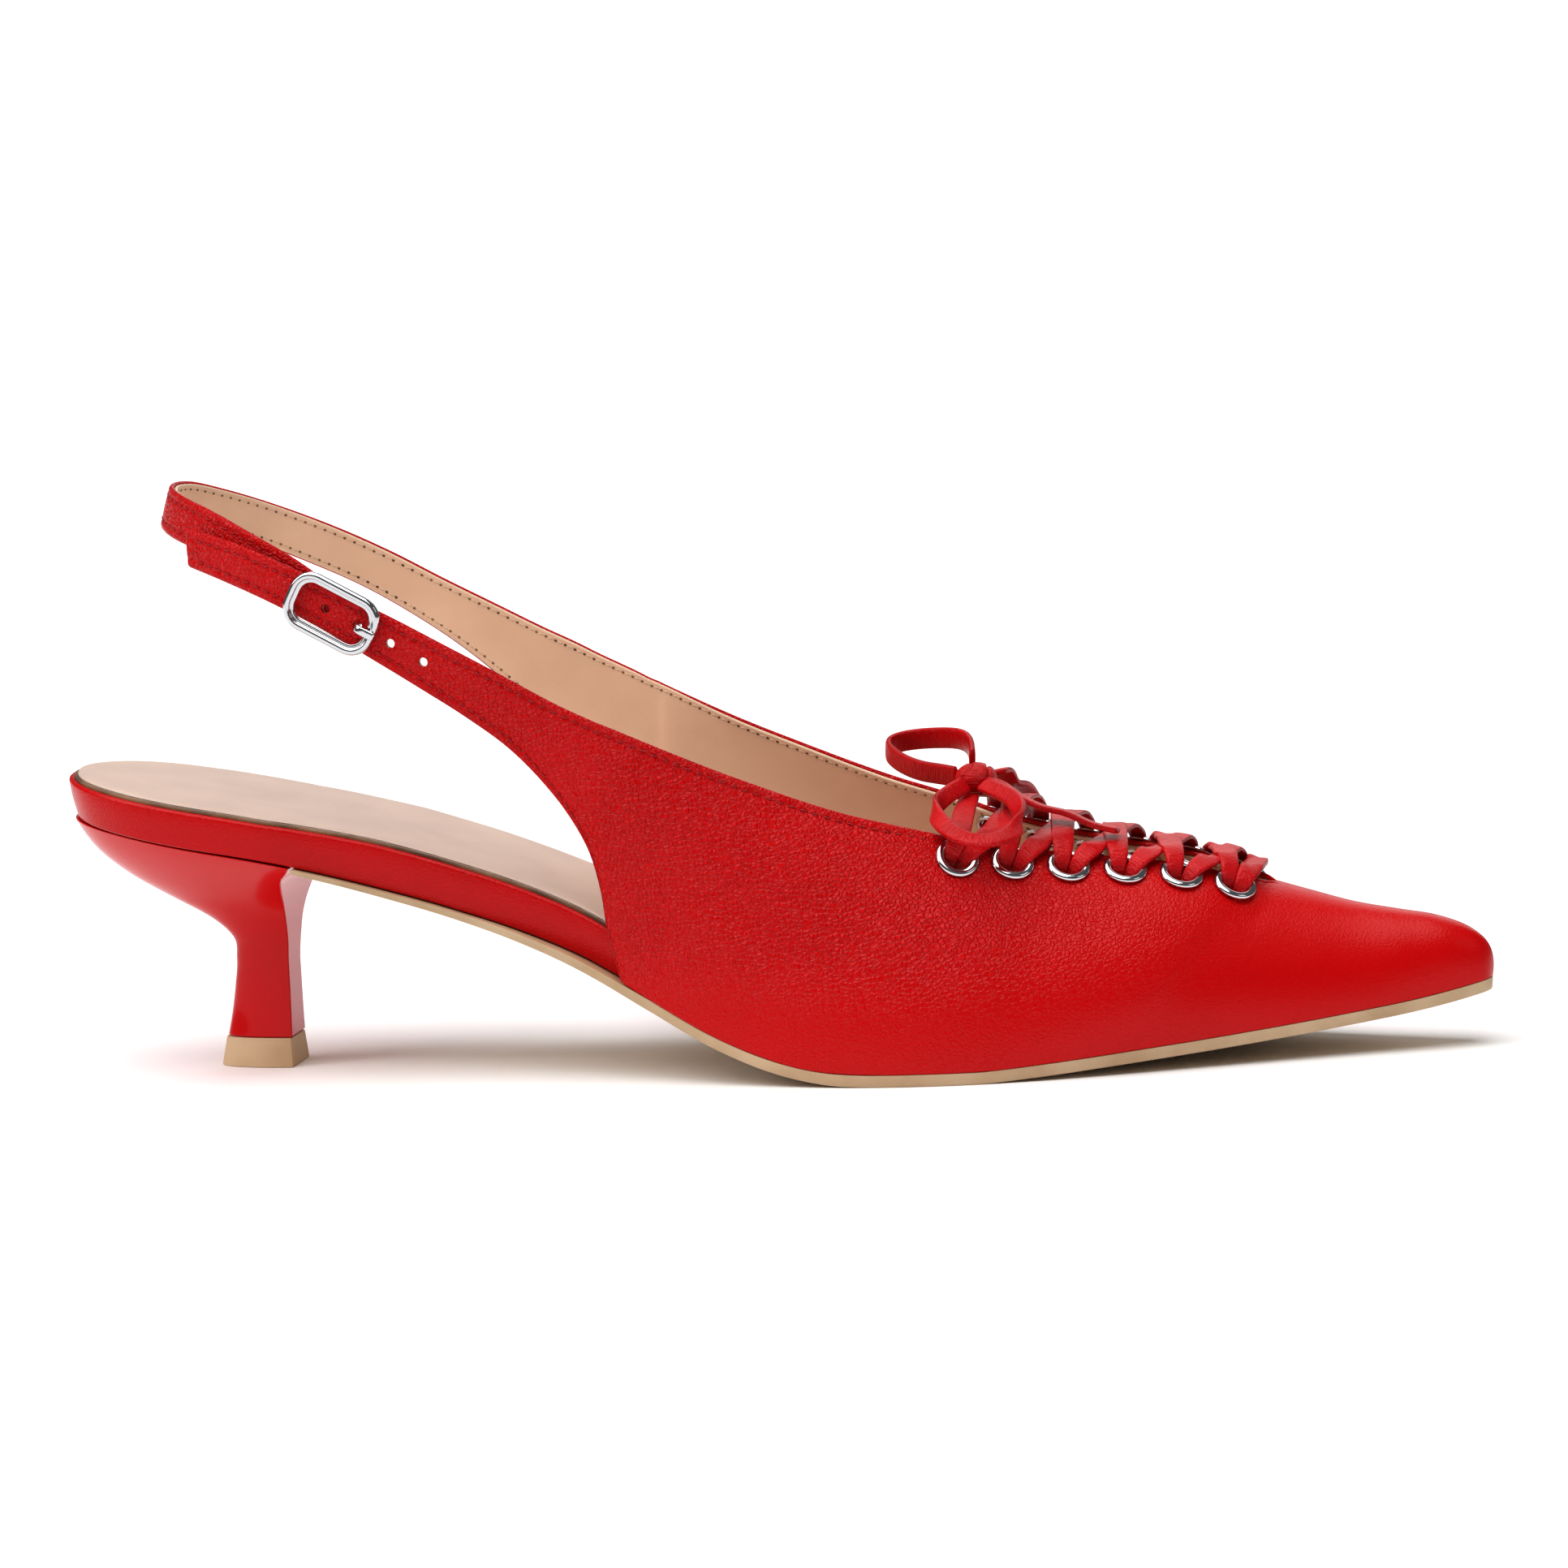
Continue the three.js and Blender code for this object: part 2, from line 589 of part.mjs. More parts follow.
// Gives a sheet its wall: the inner face lies one wall in along the sheet's own normals
function thicken(points, faces, rims) {
  const keyOf = (p) => [p.x, p.y, p.z].map((value) => Math.round(value * 1000)).join()
  const normals = new Map(points.map((p) => [keyOf(p), vec(0, 0, 0)]))
  for (const [a, b, c] of faces) {
    const normal = points[b].clone().sub(points[a]).cross(points[c].clone().sub(points[a]))
    for (const i of [a, b, c]) normals.get(keyOf(points[i])).add(normal)
  }
  const inner = points.map((p) => p.clone().addScaledVector(normals.get(keyOf(p)).clone().normalize(), -WALL))
  const n = points.length
  const triangles = [
    ...faces,
    ...faces.map(([a, b, c]) => [a + n, c + n, b + n]),
    ...rims.flatMap(([a, b]) => [[a, b, b + n], [a, b + n, a + n]]),
  ]
  return closedMesh([...points, ...inner], triangles)
}

// Eyelets stand along the slit's edge, a pitch apart, one setback in from it
function eyeletSeat(half, number) {
  const wanted = EYELET_FIRST + (EYELETS - number) * EYELET_PITCH
  const step = 0.02
  let row = SLIT_ROW
  let walked = 0
  let here = surfaceAt(half, row, 1)
  while (walked < wanted) {
    row += step
    const next = surfaceAt(half, row, 1)
    walked += next.distanceTo(here)
    here = next
  }
  let t = 1
  let back = 0
  let last = here
  while (back < EYELET_EDGE) {
    t -= 0.002
    const next = surfaceAt(half, row, t)
    back += next.distanceTo(last)
    last = next
  }
  const normal = normalAt(half, row, t)
  return { centre: last, normal, edge: here }
}
const seats = { lateral: [], medial: [] }
for (let number = 1; number <= EYELETS; number += 1) {
  seats.lateral.push(eyeletSeat(outerSide, number))
  seats.medial.push(eyeletSeat(innerSide, number))
}
const allSeats = [...seats.lateral, ...seats.medial]

const UP = vec(0, 1, 0)
function turned(geometry, axis, centre) {
  geometry.applyQuaternion(new THREE.Quaternion().setFromUnitVectors(UP, axis))
  return geometry.translate(centre.x, centre.y, centre.z)
}
function eyeletGeometry({ centre, normal }) {
  const barrelOut = EYELET_HOLE_R + EYELET_BARREL
  const under = -WALL - GAP * 3
  const profile = [
    [EYELET_HOLE_R, under - EYELET_CLINCH],
    [EYELET_CLINCH_R, under],
    [barrelOut, under],
    [barrelOut, GAP],
    [EYELET_FLANGE_R, GAP],
    [EYELET_FLANGE_R - 0.3, GAP + EYELET_FLANGE],
    [EYELET_HOLE_R + 0.2, GAP + EYELET_FLANGE],
    [EYELET_HOLE_R, under - EYELET_CLINCH],
  ].map(([r, h]) => new THREE.Vector2(r, h))
  return turned(welded(new THREE.LatheGeometry(profile, 10)), normal, centre)
}

// Local frame on the outside of one side of the upper: origin, along (towards the toe), across, outward
function placeOn(half, row, t) {
  const origin = surfaceAt(half, row, t)
  const outward = normalAt(half, row, t)
  const ahead = surfaceAt(half, row - 0.05, t).sub(surfaceAt(half, row + 0.05, t))
  const along = ahead.addScaledVector(outward, -ahead.dot(outward)).normalize()
  const across = outward.clone().cross(along)
  return { origin, along, across, outward }
}
function rowAtX(half, x, t) {
  let low = VAMP.length
  let high = half.knots.length - 1
  for (let i = 0; i < 30; i += 1) {
    const middle = (low + high) / 2
    if (surfaceAt(half, middle, t).x > x) low = middle
    else high = middle
  }
  return low
}
function laidOn(geometry, { origin, along, across, outward }) {
  const basis = new THREE.Matrix4().makeBasis(along, across, outward)
  geometry.applyMatrix4(basis)
  return geometry.translate(origin.x, origin.y, origin.z)
}
const buckleSeat = placeOn(outerSide, rowAtX(outerSide, BUCKLE_X, 0.5), 0.5)
const prongHole = BUCKLE_LENGTH / 2 - PRONG_SETBACK   // ahead of the buckle's middle, along the strap

function roundedRectangle(length, width, radius) {
  const [l, w] = [length / 2, width / 2]
  const outline = new THREE.Shape()
  outline.moveTo(-l + radius, -w)
  outline.lineTo(l - radius, -w)
  outline.absarc(l - radius, -w + radius, radius, -Math.PI / 2, 0)
  outline.lineTo(l, w - radius)
  outline.absarc(l - radius, w - radius, radius, 0, Math.PI / 2)
  outline.lineTo(-l + radius, w)
  outline.absarc(-l + radius, w - radius, radius, Math.PI / 2, Math.PI)
  outline.lineTo(-l, -w + radius)
  outline.absarc(-l + radius, -w + radius, radius, Math.PI, Math.PI * 1.5)
  return outline
}
function buckleFrameGeometry() {
  const inner = [BUCKLE_LENGTH - 2 * BUCKLE_WIRE, BUCKLE_WIDTH - 2 * BUCKLE_WIRE, BUCKLE_CORNER - BUCKLE_WIRE]
  const shape = roundedRectangle(BUCKLE_LENGTH, BUCKLE_WIDTH, BUCKLE_CORNER)
  shape.holes.push(roundedRectangle(...inner))
  const bevel = 0.3
  const frame = new THREE.ExtrudeGeometry(shape, {
    depth: BUCKLE_DEPTH - 2 * bevel,
    bevelSize: bevel,
    bevelOffset: -bevel,
    bevelThickness: bevel,
    bevelSegments: 1,
    curveSegments: 4,
  })
  return laidOn(welded(frame).translate(0, 0, GAP * 1.5 + bevel), buckleSeat)
}
// The prong comes out of its hole, over the leather and rests on the front bar
function buckleProngGeometry() {
  const tip = BUCKLE_LENGTH / 2
  const onBar = GAP * 2.5 + BUCKLE_DEPTH
  const side = new THREE.Shape()
  side.moveTo(prongHole - PRONG_THICK / 2, GAP)
  side.lineTo(prongHole + PRONG_THICK / 2, GAP)
  side.lineTo(prongHole + PRONG_THICK, onBar)
  side.lineTo(tip, onBar)
  side.lineTo(tip, onBar + PRONG_THICK)
  side.lineTo(prongHole, onBar + PRONG_THICK)
  side.closePath()
  const prong = new THREE.ExtrudeGeometry(side, { depth: PRONG_WIDTH, bevelEnabled: false })
  prong.translate(0, 0, -PRONG_WIDTH / 2).rotateX(Math.PI / 2)
  return laidOn(welded(prong), buckleSeat)
}

// Flat ribbon along points. axes: the way its width lies; widths: share of LACE_WIDTH at each point
function ribbon(points, axes, widths) {
  const last = points.length - 1
  return skin(points.map((point, i) => {
    const ahead = points[Math.min(last, i + 1)].clone().sub(points[Math.max(0, i - 1)]).normalize()
    const wide = axes[i].clone().addScaledVector(ahead, -axes[i].dot(ahead)).normalize()
    const thick = ahead.cross(wide).multiplyScalar(LACE_THICK / 2)
    wide.multiplyScalar(LACE_WIDTH / 2 * widths[i])
    return [[-1, -1], [1, -1], [1, 1], [-1, 1]].map(([w, t]) => {
      return point.clone().addScaledVector(wide, w).addScaledVector(thick, t)
    })
  }))
}

const knotCentre = vec(KNOT_X, 0, boardHeight(KNOT_X) + KNOT_RISE)
const LACE_LIFT = GAP * 4 + EYELET_FLANGE + LACE_THICK / 2
// Where a strand leaves an eyelet and passes the slit's edge, moved along the slit
function liftedFrom({ centre, normal, edge }, along) {
  const shift = vec(along, 0, 0).addScaledVector(normal, LACE_LIFT - along * normal.x)
  return [centre.clone().add(shift), edge.clone().add(shift)]
}
// At an eyelet the strand lies flat on the leather, with its width along the slit
function alongLeather({ centre, normal, edge }, like) {
  const axis = edge.clone().sub(centre).cross(normal).normalize()
  return axis.dot(like) < 0 ? axis.negate() : axis
}
function crossing(from, to, fromShift, toShift, lift) {
  const [start, startEdge] = liftedFrom(from, fromShift)
  const [end, endEdge] = liftedFrom(to, toShift)
  const height = LACE_ARCH * Math.abs(from.edge.y - to.edge.y) / 2
  const base = (from.edge.z + to.edge.z) / 2
  const over = STRAND.map(([share, rise]) => {
    const point = startEdge.clone().lerp(endEdge, share)
    point.z = mix(point.z, base + height + lift, rise)
    return point
  })
  const widths = [STRAND_END, ...STRAND.map((row) => row[2]), STRAND_END]
  const level = end.clone().sub(start).cross(vec(0, 0, 1)).normalize()
  const axes = widths.map(() => level)
  axes.fill(alongLeather(from, level), 0, 2).fill(alongLeather(to, level), -2)
  return ribbon([start, ...over, end], axes, widths)
}
function knotStrand(from) {
  const side = Math.sign(from.centre.y)
  const end = knotCentre.clone().add(vec(-1, side * LACE_WIDTH * 0.6, -KNOT_SIZE[2] / 2 - GAP * 4 - LACE_THICK / 2))
  const [start, edge] = liftedFrom(from, -LACE_SPREAD)
  const middle = edge.clone().lerp(end, 0.5).add(vec(0, 0, LACE_THICK / 2))
  const level = vec(1, 0, 0)
  const flat = alongLeather(from, level)
  return ribbon([start, edge, middle, end], [flat, flat, level, level], [STRAND_END, 0.8, 1, 1])
}
function latticeGeometry() {
  const { lateral, medial } = seats
  let solid = toSolid(crossing(lateral[EYELETS - 1], medial[EYELETS - 1], LACE_SPREAD, LACE_SPREAD, -LACE_OVER))
  for (let i = 0; i < EYELETS - 1; i += 1) {
    solid = solid.add(toSolid(crossing(lateral[i], medial[i + 1], LACE_SPREAD, -LACE_SPREAD, -LACE_OVER)))
    solid = solid.add(toSolid(crossing(medial[i], lateral[i + 1], LACE_SPREAD, -LACE_SPREAD, 0)))
  }
  return fromSolid(solid.add(toSolid(knotStrand(lateral[0]))).add(toSolid(knotStrand(medial[0]))))
}
function knotGeometry() {
  const knot = new THREE.SphereGeometry(0.5, 10, 6).rotateX(Math.PI / 2).scale(...KNOT_SIZE)
  return welded(knot).translate(knotCentre.x, knotCentre.y, knotCentre.z)
}

// Routes of the loose lace, from the knot's middle: x, y, z in millimetres
const NEAR_LOOP = [
  [-1.6, -3.6, -0.9],
  [-3.6, -8.2, -1.6],
  [-5.4, -14.0, -3.2],
  [-4.2, -21.5, -4.2],
  [-0.6, -27.0, -6.6],
  [3.0, -29.0, -7.8],
  [7.4, -28.4, -8.0],
  [10.2, -24.6, -7.2],
  [10.6, -17.5, -4.6],
  [8.0, -10.5, -2.3],
  [4.2, -6.2, -1.5],
  [2.0, -3.8, -0.8],
]
const FAR_LOOP = [
  [-3.9, 1.4, 0.0],
  [-7.0, 3.2, 0.4],
  [-10.6, 5.2, 0.7],
  [-14.5, 8.2, 1.7],
  [-17.4, 11.5, 3.0],
  [-18.6, 14.5, 4.0],
  [-17.6, 17.0, 4.6],
  [-14.2, 18.0, 5.1],
  [-10.0, 17.0, 5.4],
  [-5.6, 14.0, 5.6],
  [-3.2, 11.0, 5.3],
  [-1.8, 7.5, 4.3],
  [-1.2, 4.1, 3.0],
]
const NEAR_END = [
  [4.1, -1.4, -0.6],
  [6.4, -3.4, -1.7],
  [9.2, -5.6, -3.3],
  [13.4, -7.5, -5.0],
  [17.6, -8.5, -5.7],
  [21.7, -9.0, -7.8],
  [26.7, -9.5, -9.0],
]
const FAR_END = [
  [3.3, 2.9, 0.4],
  [4.0, 5.6, 0.5],
  [4.2, 9.0, -1.0],
  [4.2, 13.0, -3.0],
  [5.4, 18.0, -3.8],
  [6.2, 23.0, -6.6],
  [7.0, 27.5, -11.4],
  [8.2, 30.5, -16.0],
]
function bowPiece(route, widthAxis) {
  const points = route.map(([x, y, z]) => vec(x, y, z).add(knotCentre))
  const smooth = new THREE.CatmullRomCurve3(points, false, 'centripetal').getPoints(route.length * 2)
  return ribbon(smooth, smooth.map(() => widthAxis), smooth.map(() => 1))
}

function upperGeometry() {
  let solid = toSolid(upperShell())
  const drill = (radius, depth, axis, centre) => {
    const cutter = new THREE.CylinderGeometry(radius, radius, depth, 12)
    solid = solid.subtract(toSolid(turned(welded(cutter), axis, centre)))
  }
  const pad = new THREE.BoxGeometry(LAP_LENGTH, LAP_WIDTH, LAP_DEPTH).translate(0, 0, -WALL * 0.75 - LAP_DEPTH / 2)
  solid = solid.add(toSolid(laidOn(welded(pad), buckleSeat)))
  for (const { centre, normal } of allSeats) {
    drill(EYELET_HOLE_R + EYELET_BARREL + GAP, WALL * 5, normal, centre)
  }
  for (let i = 0; i < PUNCH_COUNT; i += 1) {
    const { along } = buckleSeat
    const x = buckleSeat.origin.x + (prongHole + (i - 1) * PUNCH_PITCH) * along.x
    const hole = placeOn(outerSide, rowAtX(outerSide, x, 0.5), 0.5)
    drill(PUNCH_R, WALL * 1.5, hole.outward, hole.origin)
  }
  return fromSolid(solid)
}

function leather(colour, roughness) {
  return new THREE.MeshStandardMaterial({ color: colour, roughness, metalness: 0 })
}
const materials = {
  red: leather(0xb8000f, 0.42),
  lacquer: leather(0xb0000c, 0.12),
  nude: leather(0xd8ab8c, 0.6),
  tan: leather(0xb08a5e, 0.55),
  lace: leather(0xad0010, 0.4),
  chrome: new THREE.MeshStandardMaterial({ color: 0xd6d8dc, roughness: 0.12, metalness: 1 }),
}

const shoe = new THREE.Group()
function addPiece(name, geometry, material) {
  const mesh = new THREE.Mesh(geometry, material)
  mesh.name = name
  shoe.add(mesh)
  return mesh
}
addPiece('outsole', outsoleGeometry(), materials.tan)
addPiece('rand', randGeometry(), materials.red)
addPiece('insole', insoleGeometry(), materials.nude)
addPiece('heel', heelGeometry(), materials.lacquer)
addPiece('heel_tip', heelTipGeometry(), materials.tan)
addPiece('upper', upperGeometry(), materials.red)
for (const [sideName, list] of Object.entries(seats)) {
  list.forEach((seat, i) => addPiece(`eyelet_${sideName}_${i + 1}`, eyeletGeometry(seat), materials.chrome))
}
addPiece('lace_lattice', latticeGeometry(), materials.lace)
addPiece('lace_knot', knotGeometry(), materials.lace)
addPiece('bow_loop_near', bowPiece(NEAR_LOOP, vec(0, 0.6, 0.8)), materials.lace)
addPiece('bow_loop_far', bowPiece(FAR_LOOP, vec(0.1, -0.3, 0.95)), materials.lace)
addPiece('lace_end_near', bowPiece(NEAR_END, vec(0, -1, 0.1)), materials.lace)
addPiece('lace_end_far', bowPiece(FAR_END, vec(0.95, -0.2, 0.2)), materials.lace)
addPiece('buckle_frame', buckleFrameGeometry(), materials.chrome)
addPiece('buckle_prong', buckleProngGeometry(), materials.chrome)

// Origin: middle of the shoe without its loose lace, on the floor
const box = new THREE.Box3()
for (const mesh of shoe.children) {
  if (!/^(lace_knot|lace_end|bow_loop)/.test(mesh.name)) box.expandByObject(mesh)
}
shoe.position.set(-(box.min.x + box.max.x) / 2, -(box.min.y + box.max.y) / 2, -box.min.z)

export default shoe
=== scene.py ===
# %% [markdown]
# # A red lace-up slingback with a kitten heel
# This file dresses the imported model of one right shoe. The solids give every piece its place and its
# size. Here each piece is made again as a fine, smooth surface with its own finish, because a render
# shows grain, stitches and rolled edges that solids leave out. All lengths are worked out in
# millimetres in the shoe's own frame, with x from the seat back to the toe, the buckle side at -y and
# the floor at z = 0, and go to metres when a mesh is made.

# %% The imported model
import bpy
import numpy as np
from mathutils import Matrix


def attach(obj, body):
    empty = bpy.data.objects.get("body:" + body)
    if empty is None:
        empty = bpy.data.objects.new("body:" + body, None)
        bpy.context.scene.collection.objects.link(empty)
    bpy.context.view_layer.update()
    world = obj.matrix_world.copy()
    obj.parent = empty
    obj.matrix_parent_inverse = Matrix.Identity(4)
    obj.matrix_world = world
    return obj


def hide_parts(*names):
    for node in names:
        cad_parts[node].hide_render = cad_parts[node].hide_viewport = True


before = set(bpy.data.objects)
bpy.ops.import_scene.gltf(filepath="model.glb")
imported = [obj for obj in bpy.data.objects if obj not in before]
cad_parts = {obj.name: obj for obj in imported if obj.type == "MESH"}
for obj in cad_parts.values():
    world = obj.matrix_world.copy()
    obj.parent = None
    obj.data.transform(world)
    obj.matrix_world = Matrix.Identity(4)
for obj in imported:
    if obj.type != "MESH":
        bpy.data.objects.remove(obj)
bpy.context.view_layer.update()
SHOE_ORIGIN = np.array([-131.1192, 0.9116, 0.0])     # of the tables, in the model's frame
MM = 0.001                   # one millimetre in metres
print("solids in the packed model:", len(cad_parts))

# %% [markdown]
# ## Camera
# The photograph looks at the buckle side from a little towards the toe and a little above, through a
# long lens, and the picture is turned by a few degrees. The camera is placed from those three angles
# and its distance, so the same numbers can be checked against the shoe.

# %% Camera
CAMERA_AZIMUTH, CAMERA_ELEVATION, CAMERA_ROLL = np.radians([10.5, 7.0, 2.6])
CAMERA_TARGET = np.array([134.0, 0.0, 50.0])
CAMERA_DISTANCE = 1300.0
CAMERA_SCALE = 6.75          # picture points per millimetre at the target
PICTURE_SIZE = 1932.0


def camera_axes(azimuth, elevation, roll):
    """Right, up and back: a camera that circles the shoe by azimuth, rises by elevation and is turned
    clockwise about its line of sight by roll."""
    level = np.array([np.cos(azimuth), np.sin(azimuth), 0.0])
    away = np.array([np.sin(azimuth), -np.cos(azimuth), 0.0])
    back = away * np.cos(elevation) + np.array([0, 0, np.sin(elevation)])
    upright = np.cross(back, level)
    right = np.cos(roll) * level - np.sin(roll) * upright
    up = np.sin(roll) * level + np.cos(roll) * upright
    return right, up, back


def placed(thing, right, up, back, metres):
    """Puts a camera or lamp into the scene. Its three axes and its place are the columns of its pose."""
    bpy.context.scene.collection.objects.link(thing)
    pose = np.eye(4)
    pose[:3] = np.column_stack([right, up, back, metres])
    thing.matrix_world = Matrix(pose.tolist())
    return thing


right, up, back = camera_axes(CAMERA_AZIMUTH, CAMERA_ELEVATION, CAMERA_ROLL)
lens = bpy.data.cameras.new("camera")
lens.sensor_width = 36.0
lens.lens = CAMERA_SCALE * CAMERA_DISTANCE / PICTURE_SIZE * lens.sensor_width
lens.clip_end = 200.0
station = (CAMERA_TARGET + SHOE_ORIGIN + back * CAMERA_DISTANCE) * MM
bpy.context.scene.camera = placed(bpy.data.objects.new("camera", lens), right, up, back, station)
print("lens", round(lens.lens, 1), "mm, camera", round(float(station[2]), 3), "m above the floor")

# %% [markdown]
# ## From arrays to meshes
# Every new piece is one or more grids of points. A grid can be closed into a tube, and where its rows
# run together, as at a pole, a seam or the tip of the toe, equal points are merged, so the surface has
# no holes. The faces are turned outwards by the sign of the volume that they enclose.

# %% Grids and meshes
def grid_faces(rows, columns, closed=False):
    """Quads of a grid of rows x columns points. closed joins the last column to the first."""
    across = np.arange(columns if closed else columns - 1)
    along = np.arange(rows - 1)[:, None] * columns
    ahead = (across + 1) % columns
    corners = [along + across, along + ahead, along + columns + ahead, along + columns + across]
    return np.stack(np.broadcast_arrays(*corners), -1).reshape(-1, 4)


def loops(points, u, v):
    """(points, faces, uv) of a stack of closed loops of points. u and v are the layout's two numbers."""
    rows, columns = points.shape[:2]
    uv = np.empty((rows, columns, 2))
    uv[..., 0], uv[..., 1] = u, v
    return points.reshape(-1, 3), grid_faces(rows, columns, True), uv.reshape(-1, 2)


def joined(parts):
    """One (points, faces, uv) from several: the faces of each part are counted on from the one before."""
    starts = np.cumsum([0] + [len(part[0]) for part in parts[:-1]])
    points = np.concatenate([part[0] for part in parts])
    faces = np.concatenate([part[1] + start for part, start in zip(parts, starts)])
    return points, faces, np.concatenate([part[2] for part in parts])


MERGE = 1e-3                 # millimetres


def mesh_piece(name, part, material, stands_for=None):
    """An object from a (points, faces, uv) in millimetres: points closer than MERGE become one, faces
    that collapse are left out, and a closed surface is turned so that its volume is positive. Where it
    stands for a solid, that solid is hidden."""
    points, faces, uv = part
    keys = np.round(points / MERGE).astype(np.int64)
    _, first, index = np.unique(keys, axis=0, return_index=True, return_inverse=True)
    index = index.reshape(-1)
    kept = points[first]
    corners = index[faces]
    a, b, c, d = (kept[corners[:, i]] for i in range(4))
    volume = (np.einsum("ij,ij->i", a, np.cross(b, c)) + np.einsum("ij,ij->i", a, np.cross(c, d))).sum()
    if volume < 0:
        corners, faces = corners[:, ::-1], faces[:, ::-1]
    different = corners != np.roll(corners, -1, axis=1)
    count = different.sum(1)
    different &= (count >= 3)[:, None]
    count = count[count >= 3]
    mesh = bpy.data.meshes.new(name)
    mesh.vertices.add(len(kept))
    mesh.vertices.foreach_set("co", ((kept + SHOE_ORIGIN) * MM).ravel())
    mesh.loops.add(int(count.sum()))
    mesh.loops.foreach_set("vertex_index", corners[different])
    mesh.polygons.add(len(count))
    mesh.polygons.foreach_set("loop_start", np.concatenate([[0], np.cumsum(count)[:-1]]))
    layer = mesh.uv_layers.new(name="layout")
    layer.data.foreach_set("uv", uv[faces[different]].ravel())
    mesh.update(calc_edges=True)
    mesh.validate()
    mesh.shade_smooth()
    mesh.materials.append(material)
    piece = bpy.data.objects.new(name, mesh)
    bpy.context.scene.collection.objects.link(piece)
    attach(piece, "root")
    if stands_for:
        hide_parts(stands_for)
    print(name, len(mesh.polygons), "faces")
    return piece


def unit(vectors):
    """Vectors of length one, along the last axis."""
    return vectors / (np.linalg.norm(vectors, axis=-1, keepdims=True) + 1e-12)


def walked(points):
    """Distance walked along a line of points, from 0."""
    return np.concatenate([[0], np.cumsum(np.linalg.norm(np.diff(points, axis=0), axis=1))])


def power(values, exponent):
    """|v|^exponent with the sign of v, which squares up a circle's cosine and sine."""
    return np.sign(values) * np.abs(values) ** exponent


def spokes(axis, angle):
    """Vectors of length one, square to an axis, at angles round it."""
    side_way = unit(np.cross(axis, [0.3, 0.9, 0.2]))
    return np.cos(angle)[..., None] * side_way + np.sin(angle)[..., None] * np.cross(axis, side_way)


def smooth(low, high, value):
    """Rises from 0 at low to 1 at high, level at both ends."""
    t = np.clip((value - low) / (high - low), 0.0, 1.0)
    return t * t * (3 - 2 * t)


# %% [markdown]
# ## Finishes
# The photograph shows eight finishes: grained red leather, high-gloss red on the heel, the ribbon of the lace,
# nude lining and sock, tan edges, a dark brown, thread and chrome. The dark brown is the sock's raw edge,
# darkened as painted shade in the crease there, and it is painted shade in the needle holes. Each is a
# principled shader. Colour varies through slow noise, grain is a bump from small cells whose valleys are also
# darkened as painted shade, and what is the same all over is set on the shader's own socket.

# %% Material helpers
def node(material, kind, **values):
    """A node of one kind. Names that match a socket set its value, and others set the node's option."""
    made = material.node_tree.nodes.new(kind)
    for name, value in values.items():
        label = name.replace("_", " ")
        if label in made.inputs:
            made.inputs[label].default_value = value
        else:
            setattr(made, name, value)
    return made


def link(material, source, output, target, socket):
    """One wire from a node's output to a node's socket, each by name or number."""
    material.node_tree.links.new(source.outputs[output], target.inputs[socket])


def surface(name, colour, roughness, **values):
    """A principled material of one colour, with further sockets by name."""
    material = bpy.data.materials.new(name)
    material.use_nodes = True
    shader = material.node_tree.nodes["Principled BSDF"]
    shader.inputs["Base Color"].default_value = (*colour, 1.0)
    shader.inputs["Roughness"].default_value = roughness
    for socket, value in values.items():
        shader.inputs[socket.replace("_", " ")].default_value = value
    return material, shader


def noise_on(material, scale, detail=3.0):
    """Noise in cycles per metre of the object's own space."""
    place = node(material, "ShaderNodeTexCoord")
    made = node(material, "ShaderNodeTexNoise", Scale=scale, Detail=detail)
    link(material, place, "Object", made, "Vector")
    return made


def coordinate(material, space):
    """The node that splits a space's coordinates, Object or UV, into X, Y and Z."""
    place, split = node(material, "ShaderNodeTexCoord"), node(material, "ShaderNodeSeparateXYZ")
    link(material, place, space, split, "Vector")
    return split


def ranged(material, source, output, start, end, first, last, kind="LINEAR"):
    """From first to last as a source's output goes from start to end, and held beyond both."""
    made = node(material, "ShaderNodeMapRange", interpolation_type=kind, From_Min=start, From_Max=end,
                To_Min=first, To_Max=last)
    link(material, source, output, made, "Value")
    return made


def product(material, a, output_a, b, output_b):
    """Two outputs multiplied."""
    made = node(material, "ShaderNodeMath", operation="MULTIPLY")
    link(material, a, output_a, made, 0)
    link(material, b, output_b, made, 1)
    return made


def varied_colour(material, shader, low, high, factor):
    """Base colour between low and high as a noise goes from 0.35 to 0.65."""
    ramp = node(material, "ShaderNodeValToRGB")
    for stop, place, colour in zip(ramp.color_ramp.elements, (0.35, 0.65), (low, high)):
        stop.position, stop.color = place, (*colour, 1.0)
    link(material, factor, "Fac", ramp, "Fac")
    link(material, ramp, "Color", shader, "Base Color")
    return ramp


def bump(material, shader, height, output, distance, under=None):
    """Bump of a distance in metres for a height of one. under is a bump that lies beneath this one."""
    made = node(material, "ShaderNodeBump", Strength=1.0, Distance=distance)
    link(material, height, output, made, "Height")
    if under is not None:
        link(material, under, "Normal", made, "Normal")
    link(material, made, "Normal", shader, "Normal")
    return made


def varied_roughness(material, shader, factor, low, high):
    """Roughness between low and high with a noise."""
    link(material, ranged(material, factor, "Fac", 0.0, 1.0, low, high), "Result", shader, "Roughness")


# %% Red leather, grained
# Place along the shoe, and up, from and to in metres, and how loose the leather is before and after
SLACK_ALONG, SLACK_UP = (0.035, 0.095, 1.0, 0.12), (0.008, 0.030, 0.25, 1.0)
GRAIN_VALLEY = 0.26          # share of a cell, from its border, that is valley
GRAIN_BEND = 0.8             # how far the cells' borders wander, in cells
LEATHER_SHINE = 0.22         # specular level


